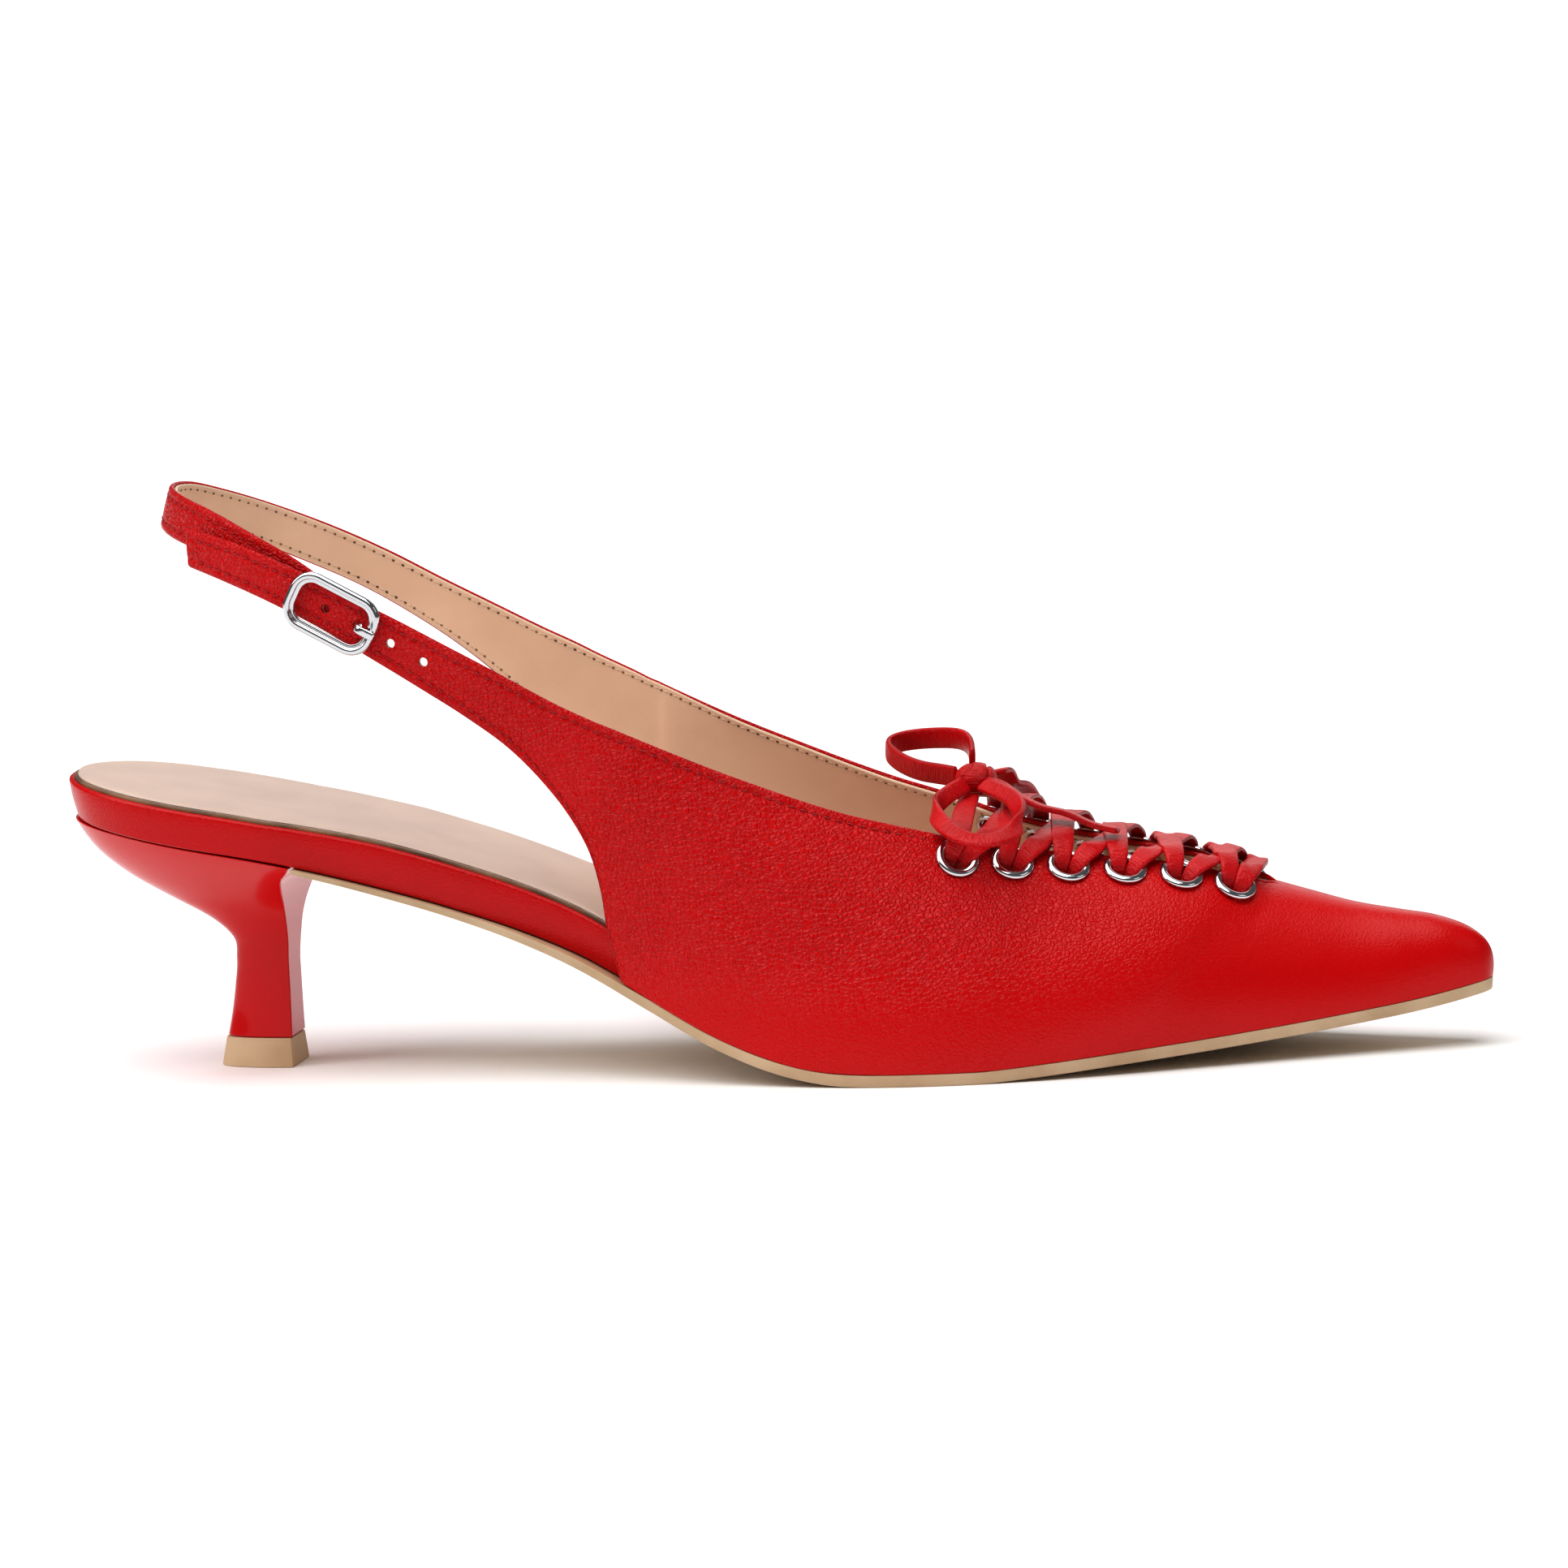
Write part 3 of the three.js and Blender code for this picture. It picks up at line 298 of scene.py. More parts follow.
def slack(material):
    """1 where the leather lies loose, less where it is pulled tight: over the toe and along the sole.
    Each is a smooth step of the object's own x or z, and the two are multiplied."""
    split = coordinate(material, "Object")
    along = ranged(material, split, "X", *SLACK_ALONG, "SMOOTHSTEP")
    rise = ranged(material, split, "Z", *SLACK_UP, "SMOOTHSTEP")
    return product(material, along, "Result", rise, "Result")


def wandering_cells(material, grain):
    """Cells whose borders wander: noise, times GRAIN_BEND of a cell, is added to the place."""
    place = node(material, "ShaderNodeTexCoord")
    bend = node(material, "ShaderNodeTexNoise", Scale=grain * 0.35, Detail=2.0)
    link(material, place, "Object", bend, "Vector")
    shift = node(material, "ShaderNodeVectorMath", operation="SCALE", Scale=GRAIN_BEND / grain)
    link(material, bend, "Color", shift, "Vector")
    moved = node(material, "ShaderNodeVectorMath", operation="ADD")
    link(material, place, "Object", moved, 0)
    link(material, shift, "Vector", moved, 1)
    cells = node(material, "ShaderNodeTexVoronoi", feature="DISTANCE_TO_EDGE", Scale=grain)
    link(material, moved, "Vector", cells, "Vector")
    return cells


def grained_leather(name, dark, light, grain, depth, roughness, painted_valley_shade):
    """Smooth leather: slow changes of colour, pebbles of grain with narrow valleys that fade in and out, and
    fine pores. The valleys are also darkened in colour, as painted shade. grain is in cells per metre, depth
    in metres, and the last number is the share of the colour that this painted shade leaves in the valleys."""
    material, shader = surface(name, light, roughness, Specular_IOR_Level=LEATHER_SHINE)
    tone = varied_colour(material, shader, dark, light, noise_on(material, 45.0, 2.0))
    cells = wandering_cells(material, grain)
    valleys = ranged(material, cells, "Distance", 0.0, GRAIN_VALLEY, 1.0, 0.0, "SMOOTHSTEP")
    fade = ranged(material, noise_on(material, 38.0), "Fac", 0.38, 0.62, 0.7, 1.0)
    faded = product(material, valleys, "Result", fade, "Result")
    height = product(material, faded, "Value", slack(material), "Value")
    first = bump(material, shader, height, "Value", -depth)
    # Painted shade: the base colour is darkened in the grain's valleys, where shade would fall.
    shade = ranged(material, height, "Value", 0.0, 1.0, 1.0, painted_valley_shade)
    tone_with_painted_shade = node(material, "ShaderNodeMix", data_type="RGBA", blend_type="MULTIPLY", Factor=1.0)
    link(material, tone, "Color", tone_with_painted_shade, 6)
    link(material, shade, "Result", tone_with_painted_shade, 7)
    link(material, tone_with_painted_shade, 2, shader, "Base Color")
    bump(material, shader, noise_on(material, grain * 3.5, 2.0), "Fac", depth * 0.25, under=first)
    varied_roughness(material, shader, noise_on(material, 90.0, 4.0), roughness - 0.02, roughness + 0.03)
    return material


red_leather = grained_leather("red_leather", (0.56, 0.0, 0.001), (0.585, 0.0, 0.002),
                              grain=1150.0, depth=0.00021, roughness=0.28, painted_valley_shade=0.92)
rand_leather = grained_leather("rand_leather", (0.51, 0.0, 0.001), (0.55, 0.0, 0.002),
                               grain=1300.0, depth=0.00003, roughness=0.28, painted_valley_shade=0.92)

# %% Lining, sock, edges, lacquer, chrome, thread
def plain_leather(name, dark, light, roughness, grain, depth):
    """Matt leather or board: two tones by slow noise and a fine even bump."""
    material, shader = surface(name, light, roughness, Specular_IOR_Level=0.4)
    varied_colour(material, shader, dark, light, noise_on(material, 90.0, 4.0))
    bump(material, shader, noise_on(material, grain, 4.0), "Fac", depth)
    return material


PLAIN = {
    # two tones, roughness, grain in cycles per metre, its depth in metres
    "lining_leather": ((0.79, 0.50, 0.335), (0.85, 0.55, 0.375), 0.55, 1800.0, 0.00003),
    "sock_leather": ((0.60, 0.45, 0.375), (0.65, 0.49, 0.405), 0.50, 1500.0, 0.00003),
    "tan_edge": ((0.56, 0.38, 0.22), (0.66, 0.48, 0.30), 0.55, 2500.0, 0.00004),
    # The sock's raw edge and the needle holes: a dark brown that is partly painted shade.
    "dark_brown_and_painted_shade": ((0.10, 0.045, 0.02), (0.32, 0.18, 0.09), 0.6, 3000.0, 0.00008),
    "sole_leather": ((0.50, 0.34, 0.20), (0.60, 0.44, 0.28), 0.55, 1200.0, 0.00004),
}
plain = {name: plain_leather(name, *values) for name, values in PLAIN.items()}
RAW_EDGE, RAW_EDGE_REACH = (0.78, 0.60, 0.42), 0.00045


def raw_edge(material):
    """RAW_EDGE where the layout's second number, the distance from the free edge, is under its reach."""
    shader = material.node_tree.nodes["Principled BSDF"]
    edge_distance = coordinate(material, "UV")
    inside = ranged(material, edge_distance, "Y", RAW_EDGE_REACH * 0.6, RAW_EDGE_REACH, 0.0, 1.0)
    mix = node(material, "ShaderNodeMix", data_type="RGBA")
    mix.inputs[6].default_value = (*RAW_EDGE, 1.0)
    material.node_tree.links.new(shader.inputs["Base Color"].links[0].from_socket, mix.inputs[7])
    link(material, inside, "Result", mix, "Factor")
    link(material, mix, 2, shader, "Base Color")


def bumped(name, colour, roughness, grain, detail, depth, **values):
    """One colour with an even bump."""
    material, shader = surface(name, colour, roughness, **values)
    bump(material, shader, noise_on(material, grain, detail), "Fac", depth)
    return material, shader


raw_edge(plain["lining_leather"])
thread_red, _ = bumped("thread_red", (0.34, 0.0, 0.003), 0.55, 6000.0, 3.0, 0.00005)
thread_nude, _ = bumped("thread_nude", (0.70, 0.50, 0.34), 0.6, 6000.0, 3.0, 0.00005)
lacquer, _ = bumped("heel_lacquer", (0.58, 0.0, 0.002), 0.22, 60.0, 1.0, 0.00006, Specular_IOR_Level=0.12,
                    Coat_Weight=0.24, Coat_Roughness=0.02)
chrome, chrome_shader = bumped("chrome", (0.64, 0.65, 0.67), 0.07, 900.0, 2.0, 0.00001, Metallic=1.0)
varied_roughness(chrome, chrome_shader, noise_on(chrome, 700.0, 4.0), 0.04, 0.14)

# %% Lace ribbon
def lace_leather():
    """Ribbon cut from soft leather: fine wrinkles that run across it. The layout's first number runs along the
    ribbon and its second round it, with the edges at 0 and 0.5."""
    material, shader = surface("lace_leather", (0.55, 0.002, 0.012), 0.30, Specular_IOR_Level=0.26)
    place = node(material, "ShaderNodeTexCoord")
    squeeze = node(material, "ShaderNodeMapping", Scale=(2600.0, 9.0, 1.0))
    link(material, place, "UV", squeeze, "Vector")
    wrinkle = node(material, "ShaderNodeTexNoise", Scale=1.0, Detail=3.0, Distortion=0.6)
    link(material, squeeze, "Vector", wrinkle, "Vector")
    varied_colour(material, shader, (0.48, 0.0, 0.002), (0.58, 0.0, 0.004), noise_on(material, 120.0))
    first = bump(material, shader, wrinkle, "Fac", 0.00030)
    bump(material, shader, noise_on(material, 3500.0, 2.0), "Fac", 0.00003, under=first)
    return material


lace = lace_leather()
print("finishes:", len(bpy.data.materials))

# %% [markdown]
# ## Curves through tables
# The shape of the shoe is held in short tables, as a shoemaker holds it in numbered sections. One rule
# runs a smooth curve through the rows of any of them: a cubic piece between two rows, with the tangent
# at a row taken from its two neighbours, and one-sided at a corner.

# %% Curve through points
def curve_through(points, knots, at, corners=()):
    """Cubic pieces through points at rising knots: p0(2t^3-3t^2+1) + p1(3t^2-2t^3) + span(m0(t^3-2t^2+t)
    + m1(t^3-t^2)). The tangent m is the mean of the slopes on both sides, weighted by the other span."""
    points, knots, at = np.asarray(points, float), np.asarray(knots, float), np.asarray(at, float)
    span = np.diff(knots)
    slope = np.diff(points, axis=0) / span[:, None]
    share = (span[:-1] / (span[:-1] + span[1:]))[:, None]
    leave = np.concatenate([slope[:1], slope[:-1] * (1 - share) + slope[1:] * share, slope[-1:]])
    arrive = leave.copy()
    for corner in corners:
        leave[corner], arrive[corner] = slope[corner], slope[corner - 1]
    k = np.clip(np.searchsorted(knots, at, side="right") - 1, 0, len(span) - 1)
    t = ((at - knots[k]) / span[k])[..., None]
    return (points[k] * (2 * t**3 - 3 * t**2 + 1) + points[k + 1] * (3 * t**2 - 2 * t**3)
            + span[k][..., None] * (leave[k] * (t**3 - 2 * t**2 + t) + arrive[k + 1] * (t**3 - t**2)))


def carried(route, step, *values):
    """Evenly spaced points on a smooth curve through a route, and each further table carried along with
    it. The knots are the square roots of the distances between points, which keeps the curve from
    overshooting where they lie close together."""
    route = np.asarray(route, float)
    gaps = np.linalg.norm(np.diff(route, axis=0), axis=1)
    knots = np.concatenate([[0], np.cumsum(np.sqrt(gaps))])
    fine = np.linspace(0, knots[-1], len(route) * 24)
    run = walked(curve_through(route, knots, fine))
    even = np.interp(np.linspace(0, run[-1], max(8, int(run[-1] / step) + 1)), run, fine)
    tables = []
    for value in values:
        value = np.asarray(value, float)
        columns = value.reshape(len(route), -1).T
        table = np.stack([np.interp(even, knots, column) for column in columns], -1)
        tables.append(table.reshape(-1, *value.shape[1:]))
    return [curve_through(route, knots, even), *tables]


# %% Sizes and sole tables
LENGTH, BALL_HALF, HEEL_RISE, COLLAR_RISE = 262.0, 38.5, 46.4, 64.3
WALL, GAP = 1.6, 0.3
SOLE, SOLE_THIN = 2.0, 1.0
RAND_SEAT, RAND_ARCH, RAND_TOE, RAND_UNDERCUT = 7.1, 8.2, 2.6, 1.2
SOCK, SOCK_INSET = 1.0, 1.8
BOARD = np.array([
    [0.000, 1.000], [0.076, 0.920], [0.176, 0.815], [0.248, 0.709], [0.294, 0.631], [0.340, 0.539],
    [0.385, 0.429], [0.433, 0.282], [0.479, 0.144], [0.525, 0.047], [0.560, 0.008], [0.585, 0.000],
    [0.622, 0.000], [0.664, 0.000], [0.702, 0.015], [0.763, 0.043], [0.828, 0.075], [0.893, 0.114],
    [0.958, 0.166], [1.000, 0.216],
])
OUTLINE = np.array([
    [0.000, 0.000, 0.000], [0.006, 0.221, 0.221], [0.023, 0.421, 0.421], [0.050, 0.561, 0.561],
    [0.088, 0.647, 0.630], [0.145, 0.673, 0.605], [0.221, 0.655, 0.510], [0.298, 0.652, 0.450],
    [0.363, 0.691, 0.468], [0.428, 0.795, 0.570], [0.489, 0.904, 0.730], [0.546, 0.974, 0.865],
    [0.599, 1.000, 0.940], [0.645, 0.974, 0.940], [0.695, 0.896, 0.873], [0.752, 0.758, 0.743],
    [0.809, 0.597, 0.597], [0.866, 0.431, 0.447], [0.920, 0.283, 0.306], [0.958, 0.190, 0.223],
    [0.985, 0.119, 0.151], [0.997, 0.060, 0.075], [1.000, 0.000, 0.000],
])
LAST_STATION = len(OUTLINE) - 1
BREAST_X = 0.177 * LENGTH
QUARTER_FRONT_X = 0.412 * LENGTH


def board_height(x):
    """Height of the underside of the board above the floor at a distance from the seat back."""
    heights = SOLE + BOARD[:, 1:] * HEEL_RISE
    return curve_through(heights, BOARD[:, 0] * LENGTH, np.clip(x, 0, LENGTH), (11, 13))[..., 0]


def outline(side, station):
    """Points on the edge of the sole, side -1 outer or 1 inner, counted by rows of its table."""
    rows = OUTLINE[:, [0, 1 if side < 0 else 2]] * [LENGTH, BALL_HALF]
    around = np.vstack([rows[1] * [1, -1], rows, rows[-2] * [1, -1]])
    knots = walked(around)
    at = np.interp(station, np.arange(len(rows)), knots[1:-1])
    return curve_through(around, knots, at) * [1, side]


def outline_inset(side, station, inset):
    """The edge moved in by an inset along its own normal. At the toe tip it moves in 1.4 times as far."""
    a = outline(side, np.maximum(station - 0.02, 0))
    b = outline(side, np.minimum(station + 0.02, LAST_STATION))
    dx, dy = (unit(b - a) * side).T
    moved = outline(side, station) + np.stack([dy, -dx], -1) * inset[:, None]
    inwards = np.where(station > 1, -1.4, 1.0) * inset
    ends = outline(side, station) + np.stack([inwards, 0 * inset], -1)
    at_end = (station <= 0) | (station >= LAST_STATION)
    return np.where(at_end[:, None], ends, moved)


def station_at(side, x):
    """Station of the outline at a distance from the seat back."""
    stations = np.linspace(0, LAST_STATION, 4000)
    return float(np.interp(x, outline(side, stations)[:, 0], stations))


print("board at seat, breast, ball, toe:", np.round(board_height(np.array([0, BREAST_X, 160, LENGTH])), 1))

# %% [markdown]
# ## The lace's bow
# The lace is a flat ribbon about 4 mm wide. Above the top eyelets its two ends are tied in a bow: two
# loops and two short ends. A ribbon could be a flat strip with a thickness added by a modifier, but a
# section carried along a path gives rounded edges and a layout that follows the lace, and the width can
# turn with the path, which is what tells a ribbon from a round cord. The bow lies on the routes of its
# solids.

# %% Ribbon
LACE_WIDTH, LACE_THICK = 4.0, 1.2
LACE_TIP = 0.3                        # how far the cut ends stand out
LACE_LID = ((0.8, 0.8), (0.0, 1.0))   # shares of the section and of the tip, for the two loops of an end


def ribbon(points, axes, widths, thick, around=24, fold=0.0):
    """A ribbon along a path. Its section is the superellipse |x|^2.6 + |y|^4 = 1, with the width along the
    axis and the thickness across it. Where the ribbon is narrow it is folded lengthwise, with three
    ridges of height fold."""
    ahead = unit(np.gradient(points, axis=0))
    wide = unit(axes - np.einsum("ij,ij->i", axes, ahead)[:, None] * ahead)
    across = np.cross(ahead, wide)
    angle = np.arange(around) / around * 2 * np.pi
    x, y = power(np.cos(angle), 2 / 2.6), power(np.sin(angle), 2 / 4.0)
    squeezed = np.clip(1 - widths / LACE_WIDTH, 0, 1)[:, None]
    ridge = 1 + fold * squeezed * np.cos(x * 3 * np.pi)[None]
    rings = (points[:, None] + wide[:, None] * (widths[:, None] / 2 * x)[..., None]
             + across[:, None] * (thick[:, None] / 2 * y * ridge)[..., None])
    run = walked(points) * MM
    for end in (0, -1):
        out = ahead[end] * (1 if end else -1) * LACE_TIP
        middle = points[end]
        lid = [middle + (rings[end] - middle) * share + out * reach for share, reach in LACE_LID]
        rings = np.concatenate([rings, lid]) if end else np.concatenate([lid[::-1], rings])
        run = np.concatenate([run, [run[-1]] * 2]) if end else np.concatenate([[run[0]] * 2, run])
    return loops(rings, run[:, None], np.arange(around) / around)


def softened(path, passes):
    """Each point moves to (before + 2 itself + after) / 4, again and again, and the two ends stay."""
    for _ in range(passes):
        path = np.concatenate([path[:1], (path[:-2] + 2 * path[1:-1] + path[2:]) / 4, path[-1:]])
    return path


# %% Bow routes and pieces
KNOT = np.array([169.5, 0.0, float(board_height(169.5)) + 48.4])
NEAR_LOOP = [
    [-1.6, -3.6, -0.9], [-3.6, -8.2, -1.6], [-5.4, -14.0, -3.2], [-4.2, -21.5, -4.2], [-0.6, -27.0, -6.6],
    [3.0, -29.0, -7.8], [7.4, -28.4, -8.0], [10.2, -24.6, -7.2], [10.6, -17.5, -4.6], [8.0, -10.5, -2.3],
    [4.2, -6.2, -1.5], [2.0, -3.8, -0.8],
]
FAR_LOOP = [
    [-3.9, 1.4, 0.0], [-7.0, 3.2, 0.4], [-10.6, 5.2, 0.7], [-14.5, 8.2, 1.7], [-17.4, 11.5, 3.0],
    [-18.6, 14.5, 4.0], [-17.6, 17.0, 4.6], [-14.2, 18.0, 5.1], [-10.0, 17.0, 5.4], [-5.6, 14.0, 5.6],
    [-3.2, 11.0, 5.3], [-1.8, 7.5, 4.3], [-1.2, 4.1, 3.0],
]
NEAR_END = [
    [0.0, 0.0, 0.0], [2.0, -0.7, -0.3], [4.1, -1.4, -0.6], [6.4, -3.4, -1.7], [9.2, -5.6, -3.3],
    [13.4, -7.5, -5.0], [17.6, -8.5, -5.7], [21.7, -9.0, -7.8], [26.7, -9.5, -9.0],
]
FAR_END = [
    [3.3, 2.9, 0.4], [4.0, 5.6, 0.5], [4.2, 9.0, -1.0], [4.2, 13.0, -3.0], [5.4, 18.0, -3.8],
    [6.2, 23.0, -6.6], [7.0, 27.5, -11.4], [8.2, 30.5, -16.0],
]
BOW = {
    # the solid that a piece stands for, axis of its width, share of the width, softening, its end, route
    "lace_bow_loop_near": ("bow_loop_near", [0, 0.85, 0.53], 0.82, 50, "knot", NEAR_LOOP),
    "lace_bow_loop_far": ("bow_loop_far", [0.1, -0.3, 0.95], 1.0, 12, "knot", FAR_LOOP),
    "lace_tail_near": ("lace_end_near", [0, -1, 0.1], 1.0, 12, "bare", NEAR_END),
    "lace_tail_far": ("lace_end_far", [0.95, -0.2, 0.2], 1.0, 12, "bare", FAR_END),
}
BOW_STEP, BOW_FOLD = 0.6, 0.3
for name, (solid, axis, share, passes, ending, route) in BOW.items():
    count = len(route)
    path, axes, widths = carried(route, BOW_STEP, [axis] * count, [LACE_WIDTH * share] * count)
    path = softened(path, passes) + KNOT
    part = ribbon(path, axes, widths, np.full(len(path), LACE_THICK), fold=BOW_FOLD)
    piece = mesh_piece(name, part, lace, solid)

# %% [markdown]
# ## The knot
# The knot is a small dome of ribbon wrapped over itself. It is one closed surface, an ellipsoid with
# soft grooves pressed into it where one turn of the ribbon lies against the next.

# %% Knot
KNOT_SIZE = np.array([7.6, 6.6, 5.6])
KNOT_GROOVES = [
    # normal of the groove's plane, its distance from the middle, depth, width
    ([1.0, 0.25, -0.25], 0.45, 0.28, 0.06),
    ([0.15, -0.35, 1.0], -0.42, 0.16, 0.08),
    ([-0.9, -0.2, 0.45], 0.62, 0.10, 0.08),
]


def knot_surface(rows=48, columns=72):
    """Ellipsoid by latitude and longitude, squared up a little and narrower towards its top. Its radius
    is 1 less d exp(-((n.p - c)/w)^2) for each groove of depth d and width w round a plane n.p = c."""
    lat = np.linspace(-np.pi / 2, np.pi / 2, rows)[:, None]
    lon = np.arange(columns)[None] / columns * 2 * np.pi
    p = np.stack(np.broadcast_arrays(np.cos(lat) * np.cos(lon), np.cos(lat) * np.sin(lon), np.sin(lat)), -1)
    radius = np.ones(p.shape[:2])
    for normal, offset, depth, width in KNOT_GROOVES:
        radius -= depth * np.exp(-((p @ unit(np.array(normal)) - offset) / width) ** 2)
    full = power(p, 0.86)
    full[..., :2] *= 1 - 0.22 * np.clip(p[..., 2:], 0, 1) ** 2
    return loops(KNOT + full * radius[..., None] * KNOT_SIZE / 2, lat * 0.004, lon / (2 * np.pi))


lace_knot = mesh_piece("lace_knot_dome", knot_surface(), lace, "lace_knot")


# %% [markdown]
# ## The last's shape: sections of the upper
# The upper is steered by sections that stand on the sole's edge and lean over the last. Each section is
# a cubic Bezier curve of four points. Those points run along the shoe on the same rule as before, so the
# leather is one smooth surface with two numbers: the row along the shoe and the share up the section.

# %% Tables of the upper
VAMP = np.array([
    [22, 0.981, 0.000, 0.166, 0, 39, 0.38, 19, 0.50], [21, 0.974, 0.000, 0.186, 22, 38, 0.37, 14, 0.48],
    [20, 0.960, 0.000, 0.216, 52, 38, 0.36, 6, 0.44], [19, 0.937, 0.000, 0.248, 76, 40, 0.36, 0, 0.40],
    [18, 0.909, 0.000, 0.285, 86, 40, 0.36, 0, 0.38], [17, 0.879, 0.000, 0.334, 90, 39, 0.37, 0, 0.36],
    [16, 0.853, 0.000, 0.377, 92, 38, 0.38, 1, 0.34], [15.5, 0.846, 0.080, 0.391, 104, 37, 0.38, 3, 0.28],
    [15, 0.826, 0.143, 0.423, 97, 36, 0.38, 7, 0.26], [14.5, 0.793, 0.202, 0.472, 92, 36, 0.38, 11, 0.26],
    [14, 0.756, 0.265, 0.511, 90, 35, 0.38, 16, 0.28], [13.5, 0.718, 0.346, 0.548, 90, 34, 0.37, 22, 0.29],
    [13, 0.680, 0.444, 0.588, 90, 32, 0.36, 30, 0.32], [12.5, 0.648, 0.540, 0.624, 90, 30, 0.35, 42, 0.31],
    [12, 0.622, 0.618, 0.656, 90, 27, 0.34, 52, 0.30], [11, 0.569, 0.708, 0.715, 90, 20, 0.33, 62, 0.30],
    [10, 0.508, 0.753, 0.754, 90, 14, 0.33, 73, 0.30], [9, 0.442, 0.779, 0.739, 90, 8, 0.33, 80, 0.30],
])
QUARTER_OUTER = np.array([
    [0.412, 0.758, 0.000, 0.410, 0.782, 0.724, 90, 8], [0.405, 0.769, 0.122, 0.405, 0.784, 0.721, 90, 8],
    [0.402, 0.777, 0.230, 0.399, 0.784, 0.719, 90, 7], [0.395, 0.779, 0.332, 0.391, 0.784, 0.717, 90, 6],
    [0.382, 0.782, 0.411, 0.380, 0.784, 0.717, 90, 6], [0.365, 0.782, 0.475, 0.366, 0.784, 0.722, 90, 5],
    [0.342, 0.779, 0.535, 0.348, 0.782, 0.733, 90, 5], [0.314, 0.777, 0.580, 0.327, 0.777, 0.748, 90, 5],
    [0.283, 0.769, 0.621, 0.301, 0.772, 0.769, 90, 5], [0.248, 0.766, 0.670, 0.266, 0.769, 0.803, 90, 5],
    [0.210, 0.746, 0.721, 0.225, 0.758, 0.841, 91, 5], [0.174, 0.694, 0.757, 0.187, 0.722, 0.878, 98, 5],
    [0.139, 0.605, 0.785, 0.148, 0.633, 0.903, 112, 5], [0.112, 0.505, 0.802, 0.111, 0.505, 0.913, 122, 5],
])
QUARTER_INNER = np.array([
    [0.412, 0.542, 0.000, 0.410, 0.782, 0.729, 90, 9], [0.399, 0.602, 0.085, 0.404, 0.784, 0.728, 90, 9],
    [0.389, 0.650, 0.173, 0.397, 0.784, 0.725, 90, 8], [0.377, 0.690, 0.258, 0.388, 0.784, 0.726, 90, 7],
    [0.362, 0.718, 0.335, 0.376, 0.784, 0.727, 90, 6], [0.343, 0.738, 0.409, 0.362, 0.782, 0.730, 90, 5],
    [0.320, 0.748, 0.478, 0.344, 0.779, 0.739, 90, 5], [0.293, 0.750, 0.550, 0.321, 0.773, 0.750, 90, 5],
    [0.262, 0.743, 0.620, 0.290, 0.760, 0.775, 90, 5], [0.229, 0.727, 0.679, 0.252, 0.740, 0.812, 90, 5],
    [0.193, 0.691, 0.733, 0.213, 0.709, 0.858, 97, 5], [0.157, 0.613, 0.778, 0.174, 0.642, 0.901, 112, 5],
    [0.124, 0.478, 0.822, 0.135, 0.514, 0.945, 128, 5], [0.099, 0.312, 0.854, 0.108, 0.332, 0.980, 146, 5],
    [0.081, 0.151, 0.873, 0.090, 0.158, 1.001, 163, 5], [0.076, 0.000, 0.877, 0.085, 0.000, 1.003, 180, 5],
    [0.080, -0.151, 0.873, 0.089, -0.161, 0.999, 197, 5], [0.094, -0.312, 0.862, 0.105, -0.332, 0.988, 214, 5],
    [0.119, -0.452, 0.846, 0.129, -0.468, 0.971, 231, 5], [0.151, -0.566, 0.815, 0.160, -0.582, 0.935, 246, 5],
    [0.184, -0.640, 0.765, 0.195, -0.650, 0.890, 258, 5], [0.214, -0.675, 0.712, 0.228, -0.683, 0.828, 264, 5],
    [0.231, -0.688, 0.682, 0.244, -0.693, 0.797, 266, 5],
])
SLIT_ROW, FOOT_ROW = 6, len(VAMP)


# %% Steering points of each section
def facing(heading, side):
    """Level direction at a heading in degrees from the x axis, turned outwards on its side."""
    angle = np.radians(heading)
    return np.stack([np.cos(angle), side * np.sin(angle), 0 * angle], -1)


def lean_from(chord, outside, degrees):
    """The chord turned towards the outside by an angle."""
    away = unit(outside - np.einsum("ij,ij->i", outside, chord)[:, None] * chord)
    angle = np.radians(degrees)[:, None]
    return chord * np.cos(angle) + away * np.sin(angle)


def vamp_sections(side):
    """Four steering points of each vamp row: the foot on the sole's edge, two that give its lean and
    shoulder, and the top on the ridge, the slit or the topline."""
    station, x, y, rise, heading, foot, foot_pull, dip, top_pull = VAMP.T
    edge = outline(side, station)
    start = np.column_stack([edge, board_height(edge[:, 0]) + GAP])
    end = np.stack([x * LENGTH, side * y * BALL_HALF, board_height(x * LENGTH) + rise * COLLAR_RISE], -1)
    length = np.linalg.norm(end - start, axis=1)[:, None]
    outside = facing(heading, side)
    fall = np.radians(dip)[:, None]
    shoulder = outside * np.cos(fall) - np.array([0, 0, 1.0]) * np.sin(fall)
    low = start + lean_from(unit(end - start), outside, foot) * foot_pull[:, None] * length
    return np.stack([start, low, end + shoulder * top_pull[:, None] * length, end], 1)


def quarter_sections(side, rows):
    """Four steering points of each quarter and strap row, which bows a few degrees from its chord."""

    def place(x, y, rise):
        """A point from its shares of the length, of the ball's half width and of the collar's rise."""
        height = board_height(x * LENGTH) + np.maximum(rise * COLLAR_RISE, GAP)
        return np.stack([x * LENGTH, side * y * BALL_HALF, height], -1)
    start, end = place(*rows[:, :3].T), place(*rows[:, 3:6].T)
    third = np.linalg.norm(end - start, axis=1)[:, None] / 3
    chord, outside = unit(end - start), facing(rows[:, 6], side)
    low = start + lean_from(chord, outside, rows[:, 7]) * third
    high = end + lean_from(-chord, outside, rows[:, 7]) * third
    return np.stack([start, low, high, end], 1)


